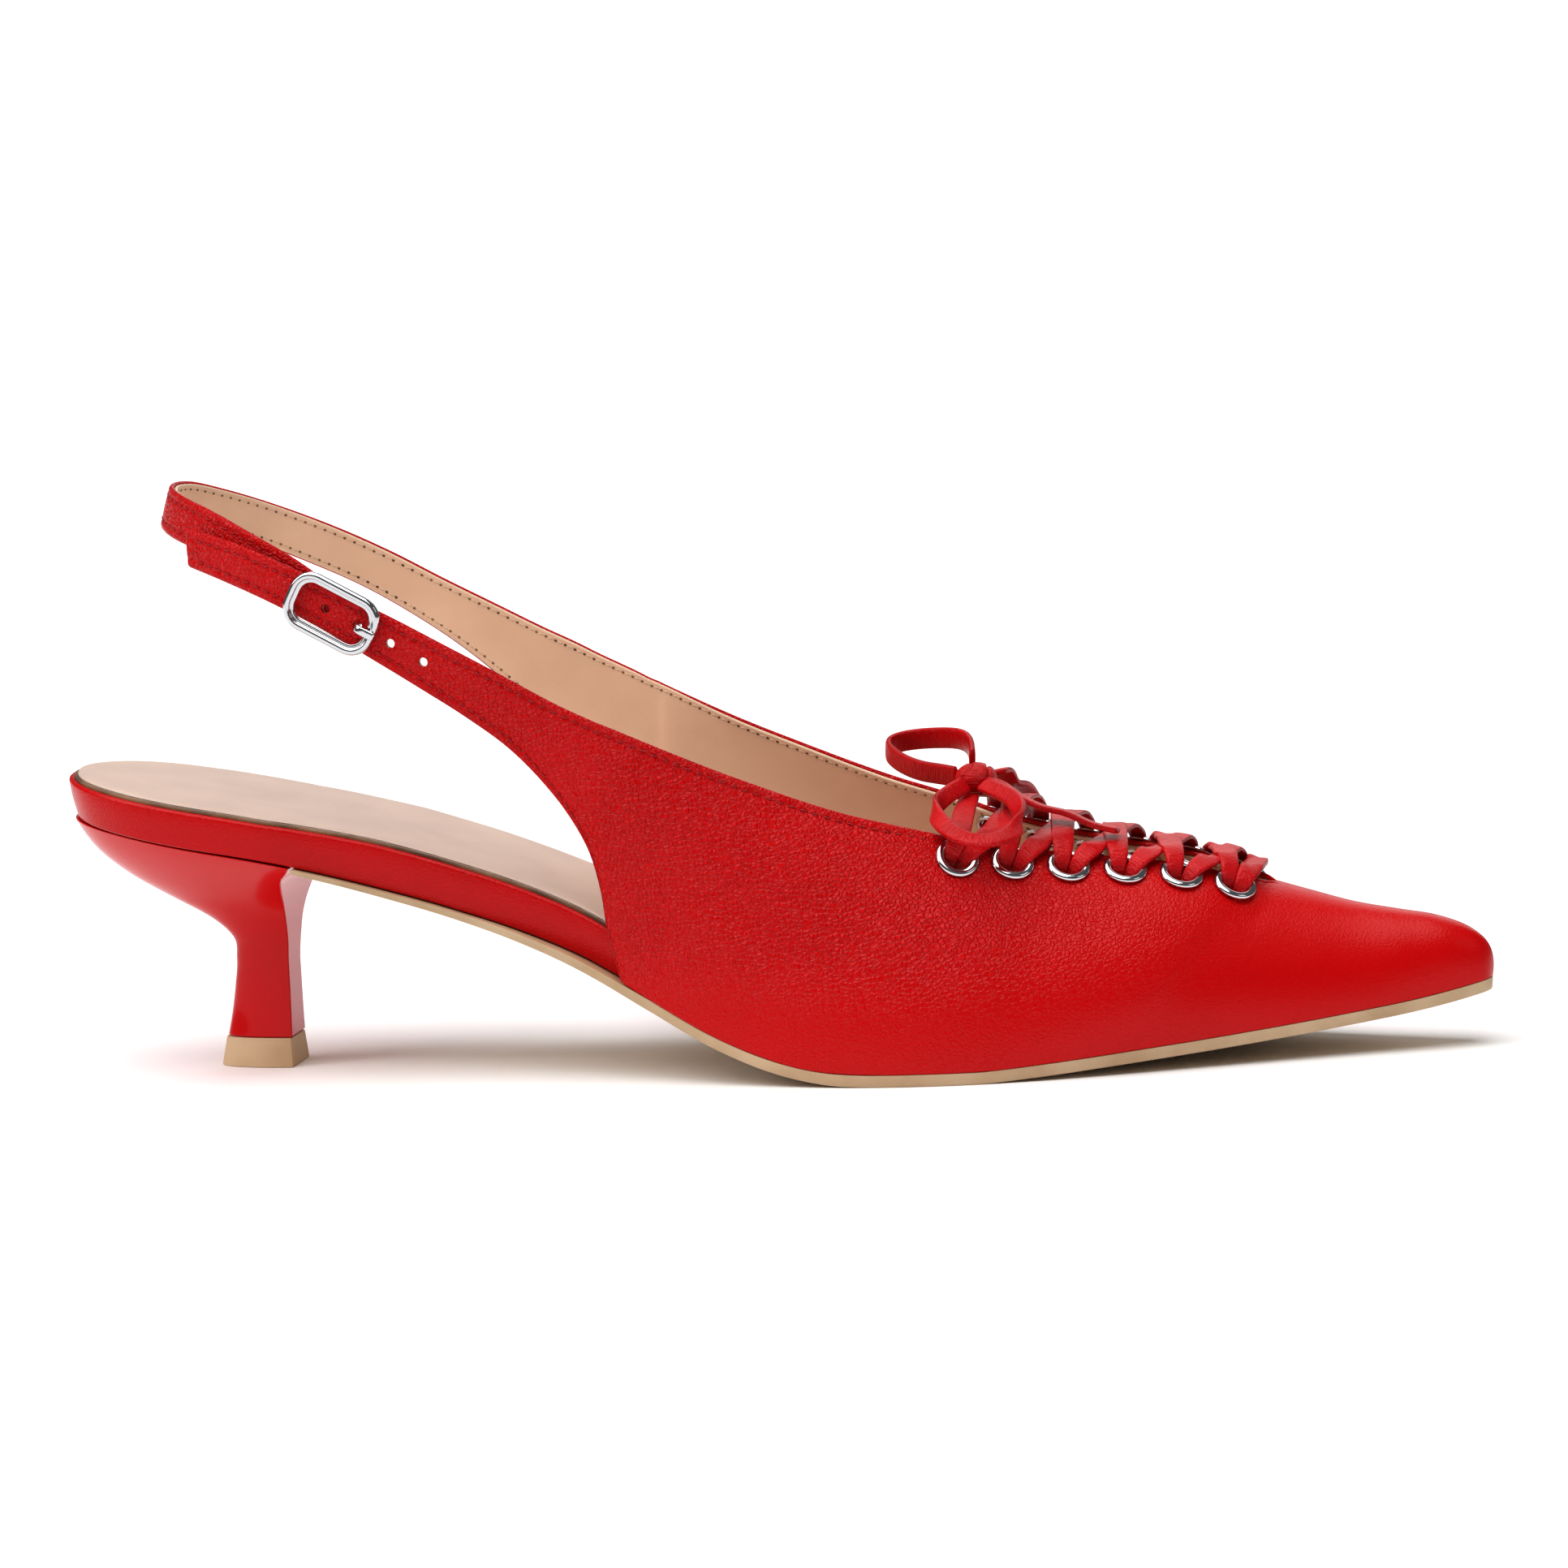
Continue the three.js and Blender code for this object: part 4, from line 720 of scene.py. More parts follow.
steering = {
    -1: np.concatenate([vamp_sections(-1), quarter_sections(-1, QUARTER_OUTER)]),
    1: np.concatenate([vamp_sections(1), quarter_sections(1, QUARTER_INNER)]),
}
spacing = {side: (np.diff(walked(rows[:, 0])) + np.diff(walked(rows[:, 3]))) / 2
           for side, rows in steering.items()}
shared = (spacing[-1][: FOOT_ROW - 1] + spacing[1][: FOOT_ROW - 1]) / 2
row_run = {side: np.concatenate([[0], np.cumsum(np.concatenate([shared, gaps[FOOT_ROW - 1:]]))])
           for side, gaps in spacing.items()}


# %% Points and normals of the upper
def section_at(side, row):
    """Steering points at any row. The foot may turn a corner where the quarter leaves the sole, and the
    top where the slit begins."""
    at = np.interp(row, np.arange(len(row_run[side])), row_run[side])
    corners = [(FOOT_ROW,), (FOOT_ROW,), (), (SLIT_ROW,)]
    return np.stack([curve_through(steering[side][:, i], row_run[side], at, corners[i]) for i in range(4)], -2)


def on_section(section, t):
    """Bezier curve (1-t)^3 a + 3(1-t)^2 t b + 3(1-t) t^2 c + t^3 d."""
    t = np.asarray(t)[..., None]
    a, b, c, d = (section[..., i, :] for i in range(4))
    return a * (1 - t) ** 3 + 3 * b * (1 - t) ** 2 * t + 3 * c * (1 - t) * t**2 + d * t**3


def upper_point(side, row, t):
    """The upper's outer face on a side, by the row along the shoe and the share up the section."""
    return on_section(section_at(side, row), t)


def upper_frame(side, row, t):
    """Outward normal, direction along the rows and direction up the section, each of length one."""
    small = 0.01
    before, after = np.maximum(row - small, 0), np.minimum(row + small, len(row_run[side]) - 1)
    ahead = upper_point(side, after, t) - upper_point(side, before, t)
    rise = upper_point(side, row, np.minimum(t + small, 1)) - upper_point(side, row, np.maximum(t - small, 0))
    normal = unit(np.cross(ahead, rise) * side)
    return normal, unit(ahead), unit(rise)


def fine_rows(side, step):
    """Rows at even steps of about step millimetres that keep every row of the tables."""
    counts = np.maximum(1, np.ceil(np.diff(row_run[side]) / step)).astype(int)
    return np.concatenate([i + np.arange(n) / n for i, n in enumerate(counts)] + [[len(counts)]])


def shares_at(side, rows, distances):
    """Shares up each section at given distances along it, and the sections' lengths: a length is measured
    in 64 pieces and read backwards. A negative distance counts from the top."""
    t = np.linspace(0, 1, 65)
    curve = on_section(section_at(side, rows)[:, None], t[None])
    pieces = np.linalg.norm(np.diff(curve, axis=1), axis=2)
    run = np.concatenate([np.zeros((len(rows), 1)), np.cumsum(pieces, 1)], 1)
    length = run[:, -1:]
    wanted = np.clip(np.where(distances < 0, length + distances, distances), 0, length)
    k = np.clip((run[:, None] <= wanted[..., None]).sum(-1) - 1, 0, 63)
    low, high = np.take_along_axis(run, k, 1), np.take_along_axis(run, k + 1, 1)
    return (k + (wanted - low) / np.maximum(high - low, 1e-9)) / 64, length[:, 0]


print("rows of the upper:", {side: len(run) for side, run in row_run.items()})

# %% [markdown]
# ## Eyelet seats
# Six eyelets on each side stand 10.5 mm apart along the edge of the slit and 4.7 mm in from it. They
# are found by walking along the edge and then down the section, so the leather, the eyelets and the
# lace all use the same places.

# %% Eyelet seats
EYELETS, EYELET_PITCH, EYELET_FIRST, EYELET_EDGE = 6, 10.5, 7.7, 4.7


def eyelet_seats(side):
    """Centre, outward normal and nearest point of the slit's edge for each eyelet, back one first."""
    rows = np.arange(SLIT_ROW, FOOT_ROW, 0.02)
    edge = upper_point(side, rows, np.ones(len(rows)))
    row = np.interp(EYELET_FIRST + np.arange(EYELETS - 1, -1, -1) * EYELET_PITCH, walked(edge), rows)
    t = shares_at(side, row, np.full((EYELETS, 1), -EYELET_EDGE))[0][:, 0]
    normal = upper_frame(side, row, t)[0]
    return upper_point(side, row, t), normal, upper_point(side, row, np.ones(EYELETS))


seats = {side: eyelet_seats(side) for side in (-1, 1)}
print("back eyelet, outer side:", np.round(seats[-1][0][0], 1))

# %% [markdown]
# ## The upper's leather
# On the real shoe the red leather is folded over at the topline, and the lining ends just inside the
# fold. The leather here is one closed shell 0.9 mm thick: the outer face, a rolled edge, the inner face
# and, on the quarters and straps, a second rolled edge. Low relief is added along the normal: the bulge
# of the folded edge, the groove of the stitching, the dip round each eyelet and a few soft creases.

# %% Shell
STITCH_INSET = 1.75
CREASES = [
    # from x, z to x, z in the side view; width, depth (a ridge is negative)
    [150, 42, 168, 30, 2.4, 0.30], [157, 46, 173, 34, 1.9, -0.18], [172, 31, 187, 25, 2.4, 0.24],
    [120, 38, 146, 22, 3.2, 0.30], [128, 44, 152, 30, 3.2, -0.18], [186, 29, 200, 23, 1.9, 0.18],
    [112, 60, 128, 50, 2.8, 0.22], [190, 31, 196, 22, 1.6, 0.14], [206, 27, 214, 19, 1.9, 0.14],
    [163, 38, 166, 33, 1.2, 0.20], [174, 36, 177, 31, 1.2, 0.18], [184, 34, 188, 29, 1.2, 0.16],
    [196, 32, 199, 28, 1.1, 0.12], [140, 50, 160, 44, 2.0, 0.14],
]


def relief(points, side, top, bottom, end):
    """Height in millimetres over the plain surface, from the distances d to the free edges: the fold's
    bulge 0.07 exp(-((d - 0.8)/0.5)^2), less the stitches' groove 0.16 exp(-((d - inset)/0.28)^2), a ring
    0.10 exp(-((r - 5.6)/1.2)^2) and a dip 0.22 exp(-(r/4.3)^6) round each eyelet, and creases as troughs
    that fall off with the distance from their line."""
    height = np.zeros(top.shape)
    for distance in (top, bottom, end):
        height += 0.07 * np.exp(-((distance - 0.8) / 0.5) ** 2)
        height -= 0.16 * np.exp(-((distance - STITCH_INSET) / 0.28) ** 2)
    for centre, normal in zip(*seats[side][:2]):
        away = np.linalg.norm(points - centre, axis=-1)
        height += 0.10 * np.exp(-((away - 5.6) / 1.2) ** 2) - 0.22 * np.exp(-(away / 4.3) ** 6)
    for x0, z0, x1, z1, width, depth in CREASES:
        a, b = np.array([x0, z0]), np.array([x1, z1])
        along = np.clip(((points[..., [0, 2]] - a) @ (b - a)) / ((b - a) @ (b - a)), 0, 1)
        away = np.linalg.norm(points[..., [0, 2]] - (a + along[..., None] * (b - a)), axis=-1)
        fade = np.sin(np.pi * np.clip(along, 0.02, 0.98)) ** 0.6
        height -= depth * fade * np.exp(-(away / width) ** 2)
    return height


FAR = 99.0                   # stands for no free edge near


def shell(side, step, outer, inner, setback, near, middle, roll=6, shaped=True):
    """One side of the upper between two depths below its face, in loops step apart: up the outer face,
    round the top edge in roll steps, down the inner face and round the bottom edge. near lists the rows'
    distances from an edge, and middle counts the rows between. The edges are half round, of radius
    (inner - outer)/2, and end setback inside the surface's own edge. shaped adds the relief."""
    half, middle_depth = (inner - outer) / 2, (inner + outer) / 2
    run_all, number = row_run[side], np.arange(len(row_run[side]))
    rows = fine_rows(side, step)
    run = np.minimum(np.interp(rows, number, run_all), run_all[-1] - half - setback)
    closing = np.arange(1, roll + 1) / roll * np.pi / 2
    run = np.concatenate([run, np.full(roll, run[-1])])
    rows = np.interp(run, run_all, number)
    reach = np.concatenate([np.zeros(len(run) - roll), np.sin(closing) * half])
    thin = np.concatenate([np.ones(len(run) - roll), np.cos(closing)])
    open_top = smooth(SLIT_ROW, SLIT_ROW + 0.3, rows)
    open_foot = (rows > FOOT_ROW - 1e-6) * 1.0
    length = shares_at(side, rows, np.zeros((len(rows), 1)))[1]
    pulled = setback + half * (2 - thin)
    low, high = (pulled * open_foot)[:, None], (length - pulled * open_top)[:, None]
    near = np.minimum(np.array(near), (high - low) * 0.3)
    between = np.linspace(0, 1, middle + 2)[1:-1]
    edge = near[:, -1:]
    plain_part = low + edge + (high - low - 2 * edge) * between
    distance = np.concatenate([low + near, plain_part, (high - near)[:, ::-1]], 1)
    t = shares_at(side, rows, distance)[0]
    t = np.where((open_top == 0)[:, None] & (distance >= high - 1e-9), 1.0, t)
    row = np.broadcast_to(rows[:, None], t.shape)
    normal, ahead, rise = upper_frame(side, row, t)
    on_middle = (row < 1e-6) | ((t > 1 - 1e-6) & (row <= SLIT_ROW + 1e-6))
    normal[..., 1] = np.where(on_middle, 0, normal[..., 1])
    normal = unit(normal)
    face = upper_point(side, row, t) + ahead * reach[:, None, None]
    from_top = np.where(row < SLIT_ROW, FAR, length[:, None] - distance)
    from_foot = np.where(row < FOOT_ROW, FAR, distance)
    from_end = np.broadcast_to((run_all[-1] - run)[:, None], t.shape)
    height = relief(face, side, from_top, from_foot, from_end) if shaped else 0 * t
    thick = (half * thin)[:, None]
    skin = face - normal * (middle_depth - thick - height * thin[:, None])[..., None]
    back = face - normal * (middle_depth + thick + 0 * t)[..., None]
    turn = np.arange(1, roll) / roll * np.pi

    def rim(column, direction, opened, start):
        """Half circle from one face to the other: centre + radius (cos a normal + sin a direction)."""
        angle = turn if start else np.pi - turn
        middle_line = face[:, column] - normal[:, column] * middle_depth
        up = np.cos(angle)[None, :, None] * normal[:, column][:, None]
        out = np.sin(angle)[None, :, None] * (direction[:, column] * opened[:, None])[:, None]
        return middle_line[:, None] + (up + out) * thick[:, :, None]

    top_rim, foot_rim = rim(-1, rise, open_top, True), rim(0, -rise, open_foot, False)
    grid = np.concatenate([skin, top_rim, back[:, ::-1], foot_rim], 1)
    nearest = np.minimum(np.minimum(from_top, from_foot), np.minimum(from_end, 20))
    none = np.zeros((len(rows), roll - 1))
    edge_distance = np.concatenate([nearest, none, nearest[:, ::-1], none], 1)
    points, faces, uv = loops(grid, run[:, None] * MM, edge_distance * MM)
    column, count = np.arange(grid.shape[1]), t.shape[1]
    at_rim = (column >= count - 1) & (column < count + roll - 1)
    closed_ridge = (rows[1:] <= SLIT_ROW + 1e-6)[:, None] & at_rim
    faces = faces.reshape(len(rows) - 1, -1, 4)[~closed_ridge]
    return points, faces if side < 0 else faces[:, ::-1], uv


LEATHER, LINING_CLEAR, LINING_SETBACK = 0.9, 0.03, 0.24
NEAR_FOLD = [0, 0.3, 0.7, 1.1, 1.4, 1.75, 2.1, 2.6]
NEAR_RAW = [0, 0.15, 0.4, 1.0]
leather_parts = [shell(side, 1.3, 0.0, LEATHER, 0.0, NEAR_FOLD, 30) for side in (-1, 1)]
upper_leather = mesh_piece("upper_leather", joined(leather_parts), red_leather, "upper")
lining_top = LEATHER + LINING_CLEAR
lining_parts = [shell(side, 1.8, lining_top, WALL, LINING_SETBACK, NEAR_RAW, 18, roll=4, shaped=False)
                for side in (-1, 1)]
upper_lining = mesh_piece("upper_lining", joined(lining_parts), plain["lining_leather"])

# %% [markdown]
# ## Holes
# The eyelets and the strap's punched holes go through leather and lining. A hole could be left out and
# painted dark, but one can look through two of the strap's holes in the photograph, so they are cut.
# One set of short cylinders serves as the cutter for both layers.

# %% Cutting the holes
BUCKLE_X, BUCKLE_LENGTH, BUCKLE_WIDTH = 58.5, 18.2, 11.2
BUCKLE_WIRE, BUCKLE_DEPTH, BUCKLE_CORNER = 2.0, 1.5, 4.4
PRONG_SETBACK = 4.1
PRONG_HOLE = BUCKLE_LENGTH / 2 - PRONG_SETBACK
PUNCH_R, PUNCH_PITCH, PUNCH_COUNT, PUNCH_REACH = 0.85, 6.7, 4, 1.9
EYELET_HOLE_R, EYELET_BARREL, EYELET_FLANGE_R, EYELET_FLANGE = 2.4, 0.4, 4.0, 0.6


def strap_place(x):
    """Origin, along, across and outward on the middle of the outer strap at a distance from the seat."""
    rows = np.linspace(FOOT_ROW, len(row_run[-1]) - 1, 3000)
    row = np.array([np.interp(-x, -upper_point(-1, rows, np.full(3000, 0.5))[:, 0], rows)])
    middle = np.array([0.5])
    outward, backwards, _ = upper_frame(-1, row, middle)
    outward, along = outward[0], -backwards[0]
    along = unit(along - outward * (along @ outward))
    return upper_point(-1, row, middle)[0], along, np.cross(outward, along), outward


def drill(centre, axis, radius, reach=5.0, around=40):
    """Closed cylinder round an axis, from reach below a point to reach above it."""
    ring = spokes(axis, np.arange(around) / around * 2 * np.pi)
    profile = ((-reach, 0), (-reach, radius), (reach, radius), (reach, 0))
    return loops(np.stack([centre + axis * h + ring * r for h, r in profile]), 0, 0)


buckle_place = strap_place(BUCKLE_X)
eyelet_hole = EYELET_HOLE_R + EYELET_BARREL + 0.1
cuts = [drill(centre, normal, eyelet_hole) for side in (-1, 1) for centre, normal, _ in zip(*seats[side])]
for i in range(PUNCH_COUNT):
    hole = strap_place(buckle_place[0][0] + (PRONG_HOLE + (i - 1) * PUNCH_PITCH) * buckle_place[1][0])
    cuts.append(drill(hole[0], hole[3], PUNCH_R, PUNCH_REACH, 20))
cutter = mesh_piece("hole_cutter", joined(cuts), red_leather)
for piece in (upper_leather, upper_lining):
    cut = piece.modifiers.new("holes", "BOOLEAN")
    cut.operation, cut.solver, cut.object = "DIFFERENCE", "EXACT", cutter
    cut_mesh = bpy.data.meshes.new_from_object(piece.evaluated_get(bpy.context.evaluated_depsgraph_get()))
    piece.modifiers.clear()
    whole, piece.data = piece.data, cut_mesh
    bpy.data.meshes.remove(whole)
    cut_mesh.name = piece.name
    cut_mesh.shade_smooth()
    print(piece.name, "with holes:", len(cut_mesh.polygons), "faces")
bpy.data.objects.remove(cutter)

# %% [markdown]
# ## Stitches
# A row of red stitches follows every free edge, a little way in, and sits in the groove of the leather. On the
# lining a row of light stitches stands nearer to the edge, with a dark bead between each two that is painted
# shade for a needle hole. Painted dashes lose their height in a close view, so each stitch is a small bead of
# thread with a few faces, set along the same surface as the leather.

# %% Stitches
LINING_STITCH_INSET = 1.25
# Pitch, length, thickness and start, in pitches, of each kind of bead
RED_STITCH, LIGHT_STITCH, NEEDLE_HOLE = (2.2, 1.65, 0.30, 0.6), (2.0, 1.35, 0.30, 0.6), (2.0, 0.75, 0.46, 1.1)


def edge_line(side, kind, inset, depth):
    """Points and normals of a line that keeps its distance from a free edge."""
    last = len(row_run[side]) - 1
    end_row = np.interp(row_run[side][-1] - inset, row_run[side], np.arange(last + 1))
    if kind == "end":
        length = shares_at(side, np.array([end_row]), np.zeros((1, 1)))[1][0]
        t = np.linspace(inset, length - inset, 60) / length
        rows = np.full(60, end_row)
    else:
        rows = np.linspace(SLIT_ROW + 0.35 if kind == "top" else FOOT_ROW + 0.25, end_row, 2400)
        t = shares_at(side, rows, np.full((len(rows), 1), -inset if kind == "top" else inset))[0][:, 0]
    normal = upper_frame(side, rows, t)[0]
    return upper_point(side, rows, t) - normal * depth, normal


def beads_along(line, normal, pitch, length, thick, first):
    """Beads of thread at even steps on a line. A bead is a tube of five rings whose radius goes as
    (1 - s^4) and whose middle stands up as (1 - s^2), with s from -1 to 1 along it."""
    run = walked(line)
    at = np.arange(pitch * first, run[-1] - pitch * 0.4, pitch)

    def read(values):
        """A table of the line, read at the beads."""
        return np.stack([np.interp(at, run, column) for column in values.T], -1)

    place, ahead, out = read(line), unit(read(np.gradient(line, run, axis=0))), unit(read(normal))
    across = np.cross(out, ahead)
    s = np.linspace(-1, 1, 5)[:, None]
    angle = np.arange(6)[None] / 6 * 2 * np.pi
    x = s * length / 2 + 0 * angle
    y = thick / 2 * (1 - s**4) * np.cos(angle)
    z = thick / 2 * (1 - s**4) * np.sin(angle) + 0.08 * (1 - s**2) - 0.10
    grid = (x[..., None] * ahead[:, None, None] + y[..., None] * across[:, None, None]
            + z[..., None] * out[:, None, None] + place[:, None, None])
    faces = grid_faces(5, 6, True)[None] + 30 * np.arange(len(at))[:, None, None]
    points = grid.reshape(-1, 3)
    return points, faces.reshape(-1, 4), np.zeros((len(points), 2))


outside_lines = [edge_line(side, kind, STITCH_INSET, 0.0)
                 for side in (-1, 1) for kind in ("top", "foot", "end")]
inside_lines = [edge_line(side, kind, LINING_STITCH_INSET, WALL)
                for side in (-1, 1) for kind in ("top", "foot")]
inside_lines = [(line, -normal) for line, normal in inside_lines]
for name, lines, bead, thread in (
    ("stitches_outside", outside_lines, RED_STITCH, thread_red),
    ("stitches_inside", inside_lines, LIGHT_STITCH, thread_nude),
    # Dark beads of painted shade stand for the needle holes.
    ("needle_holes_painted_shade", inside_lines, NEEDLE_HOLE, plain["dark_brown_and_painted_shade"]),
):
    mesh_piece(name, joined([beads_along(*line, *bead) for line in lines]), thread)

# %% [markdown]
# ## Sole, board and sock
# Three flat pieces share one outline: the outsole, the board wrapped in red leather, which shows as a deep red
# band round the heel and the arch, and the nude sock on top. A thin dark brown plate under the sock is its raw
# edge, darkened as painted shade in the crease between sock and rand. Each is a loop carried along the
# stations of the outline: up one side, across the top, down the other side and back underneath.

# %% Plates of the sole
FEATHER = 0.38


def sole_thickness(x):
    """Thin under the heel's cup and full from the waist on."""
    return SOLE_THIN + (SOLE - SOLE_THIN) * np.clip((x - BREAST_X) / (BREAST_X * 1.2), 0, 1)


def rand_thickness(x):
    """A little more at the arch than at the seat, and thin under the vamp."""
    arch = RAND_SEAT + (RAND_ARCH - RAND_SEAT) * np.clip((x / LENGTH - 0.16) / 0.08, 0, 1)
    return arch + (RAND_TOE - arch) * np.clip((x / LENGTH - 0.40) / 0.16, 0, 1)


def rand_inset(x):
    """The board steps in by the upper's wall where the quarters stand on the sole."""
    return (WALL + GAP * 2) * np.clip((x - QUARTER_FRONT_X * 0.72) / (QUARTER_FRONT_X * 0.2), 0, 1)


def feather(x):
    """Height that the sole gains under the vamp, so that it meets the foot of the leather."""
    return FEATHER * smooth(QUARTER_FRONT_X * 0.96, QUARTER_FRONT_X * 1.06, x)


def plate(start, inset, bottom, top, profile, across=10, steps=14):
    """A plate between two heights over the outline, from one station to the toe. profile lists its side
    as (extra inset, share of the height, millimetres added to it) from bottom to top."""
    stations = np.linspace(start, LAST_STATION, int((LAST_STATION - start) * steps) + 1)
    base = {side: inset(outline(side, stations)[:, 0]) for side in (-1, 1)}

    def side_points(side, extra, share, add):
        """One line of the profile along a side of the shoe."""
        xy = outline_inset(side, stations, base[side] + extra)
        low, high = bottom(xy[:, 0]), top(xy[:, 0])
        return np.column_stack([xy, low + (high - low) * share + add])

    left = [side_points(-1, *p) for p in profile]
    right = [side_points(1, *p) for p in profile]
    s = (np.arange(1, across) / across)[:, None, None]
    over = left[-1] + (right[-1] - left[-1]) * s
    under = right[0] + (left[0] - right[0]) * s
    loop = np.stack([*left, *over, *right[::-1], *under], 1)
    if start > 0:
        lid = loop[:1].mean(1, keepdims=True) + 0 * loop[:1]
        loop = np.concatenate([lid, loop])
    return loops(loop, loop[..., 0] * MM, loop[..., 1] * MM)


def rounded(bottom_in, radius, top_radius):
    """Side profile: in by bottom_in at the bottom, out to the full outline, round over at the top."""
    a = np.radians([0, 30, 60, 90])
    top_part = [(top_radius * (1 - np.cos(x)), 1.0, -top_radius * (1 - np.sin(x))) for x in a]
    low_part = [(bottom_in + radius * (1 - np.sin(x)), 0.0, radius * (1 - np.cos(x))) for x in a]
    return [*low_part, (bottom_in * 0.35, 0.5, 0.0), *top_part]


def over_board(*heights):
    """A height over the board's underside: the sum of numbers and of functions of x."""
    return lambda x: board_height(x) + sum(height(x) if callable(height) else height for height in heights)


RAW_INSET = 0.95             # of the sock's raw edge, from the rand's
RAW_BELOW, RAW_ABOVE, SOCK_IN = 0.1, 0.15, 0.1
outsole = plate(station_at(-1, BREAST_X + GAP * 2), lambda x: 0 * x, over_board(lambda x: -sole_thickness(x)),
                over_board(-GAP * 0.5, feather), rounded(0.15, 0.3, 0.2))
mesh_piece("outsole_leather", outsole, plain["sole_leather"], "outsole")
rand = plate(0, rand_inset, over_board(GAP * 0.5, feather), over_board(rand_thickness),
             rounded(RAND_UNDERCUT, 0.4, 0.7))
mesh_piece("rand_leather_band", rand, rand_leather, "rand")
# The sock's raw edge, in a dark brown that also paints the shade in the crease between sock and rand.
sock_edge = plate(0, lambda x: rand_inset(x) + RAW_INSET, over_board(rand_thickness, -RAW_BELOW),
                  over_board(rand_thickness, GAP, RAW_ABOVE), rounded(0.0, 0.1, 0.1))
mesh_piece("sock_raw_edge_and_painted_shade", sock_edge, plain["dark_brown_and_painted_shade"])
sock = plate(0, lambda x: rand_inset(x) + SOCK_INSET - SOCK_IN, over_board(rand_thickness, GAP),
             over_board(rand_thickness, GAP, SOCK), rounded(0.0, 0.2, 0.6), 16)
mesh_piece("sock_nude", sock, plain["sock_leather"], "insole")

# %% [markdown]
# ## Heel and top piece
# The kitten heel is a lacquered block: a wide cup under the seat, a slim stem, and a flat front face
# called the breast. Its sections are D shapes, so it is a stack of them between the board and the tip.
# A narrow bevel keeps the two front corners crisp and still lets them catch the light.

# %% Heel
TIP_HEIGHT, TIP_BACK_X, TIP_LENGTH, TIP_HALF, TIP_TAPER = 5.4, 25.6, 15.0, 6.3, 1.15
HEEL = np.array([
    # level from the tip to the board; x of back and front, half widths, fullness, share of the board's slope
    [1.000, 0.004, 0.177, 0.650, 0.560, 2.5, 1.00], [0.965, 0.008, 0.174, 0.600, 0.520, 2.4, 0.86],
    [0.900, 0.018, 0.166, 0.500, 0.440, 2.3, 0.68], [0.820, 0.039, 0.161, 0.375, 0.330, 2.2, 0.46],
    [0.740, 0.065, 0.158, 0.265, 0.245, 2.1, 0.28], [0.650, 0.092, 0.156, 0.185, 0.180, 2.1, 0.14],
    [0.540, 0.110, 0.155, 0.138, 0.138, 2.0, 0.05], [0.420, 0.112, 0.154, 0.123, 0.123, 2.0, 0.00],
    [0.280, 0.110, 0.154, 0.122, 0.122, 2.0, 0.00], [0.140, 0.107, 0.154, 0.127, 0.127, 2.0, 0.00],
    [0.000, 0.103, 0.154, 0.134, 0.134, 2.0, 0.00],
])


def d_rings(back_x, front_x, outer, inner, fullness, height, slope, steps=28, front=8):
    """Stack of D-shaped loops. Along each side, half width = w (1 - (1 - s)^n)^(1/n) with s from the
    back to the flat front, which is a straight row of points."""
    s = (np.arange(steps + 1) / steps) ** 1.6
    shape = (1 - (1 - s[None]) ** fullness[:, None]) ** (1 / fullness[:, None])
    x = back_x[:, None] + (front_x - back_x)[:, None] * s[None]
    left, right = -outer[:, None] * shape, inner[:, None] * shape
    step = (np.arange(1, front) / front)[None]
    front_y = left[:, -1:] + (right[:, -1:] - left[:, -1:]) * step
    xs = np.concatenate([x, x[:, -1:] + 0 * front_y, x[:, ::-1]], 1)
    ys = np.concatenate([left, front_y, right[:, ::-1]], 1)
    zs = height[:, None] + slope[:, None] * (board_height(xs) - board_height(BREAST_X))
    return np.stack([xs, ys, zs], -1)


def capped(rings):
    """The stack with both ends closed on the middle of their loop."""
    lids = [rings[i : i + 1].mean(1, keepdims=True) + 0 * rings[:1] for i in (0, len(rings) - 1)]
    stack = np.concatenate([lids[0], rings, lids[1]])
    return loops(stack, (stack[..., 0] + stack[..., 1]) * MM, stack[..., 2] * MM)


def bevelled(piece, width):
    """Edges of more than 35 degrees rounded over a width in three steps."""
    bevel = piece.modifiers.new("edges", "BEVEL")
    bevel.width, bevel.segments = width * MM, 3
    bevel.limit_method, bevel.angle_limit = "ANGLE", np.radians(35)
    bevel.harden_normals = True


level = np.linspace(1, 0, 70)
back_x, front_x, outer, inner, fullness, slope = curve_through(HEEL[::-1, 1:], HEEL[::-1, 0], level).T
heel_bottom, heel_top = TIP_HEIGHT + GAP * 0.3, float(board_height(BREAST_X)) - GAP * 0.5
heel_rings = d_rings(back_x * LENGTH, front_x * LENGTH, outer * BALL_HALF, inner * BALL_HALF, fullness,
                     heel_bottom + (heel_top - heel_bottom) * level, slope)
bevelled(mesh_piece("heel_block", capped(heel_rings), lacquer, "heel"), 0.35)
tip_level = np.array([0.0, 0.35, 0.7, 1.0])
tip_in = tip_level * TIP_TAPER
tip_rings = d_rings(TIP_BACK_X + tip_in, TIP_BACK_X + TIP_LENGTH - tip_in * 0.3, TIP_HALF - tip_in,
                    TIP_HALF - tip_in, np.full(4, 2.2), tip_level * TIP_HEIGHT, np.zeros(4))
bevelled(mesh_piece("heel_top_piece", capped(tip_rings), plain["tan_edge"], "heel_tip"), 0.3)

# %% [markdown]
# ## Eyelets
# Each eyelet is a chromed tube whose outer end is rolled into a ring, and whose inner end is clinched against
# the lining. It is one profile turned about the axis of its hole.

# %% Eyelets
RING_LIFT, CLINCH_R, CLINCH_HALF, CLINCH_HEIGHT = 0.12, 2.95, 0.55, 0.6


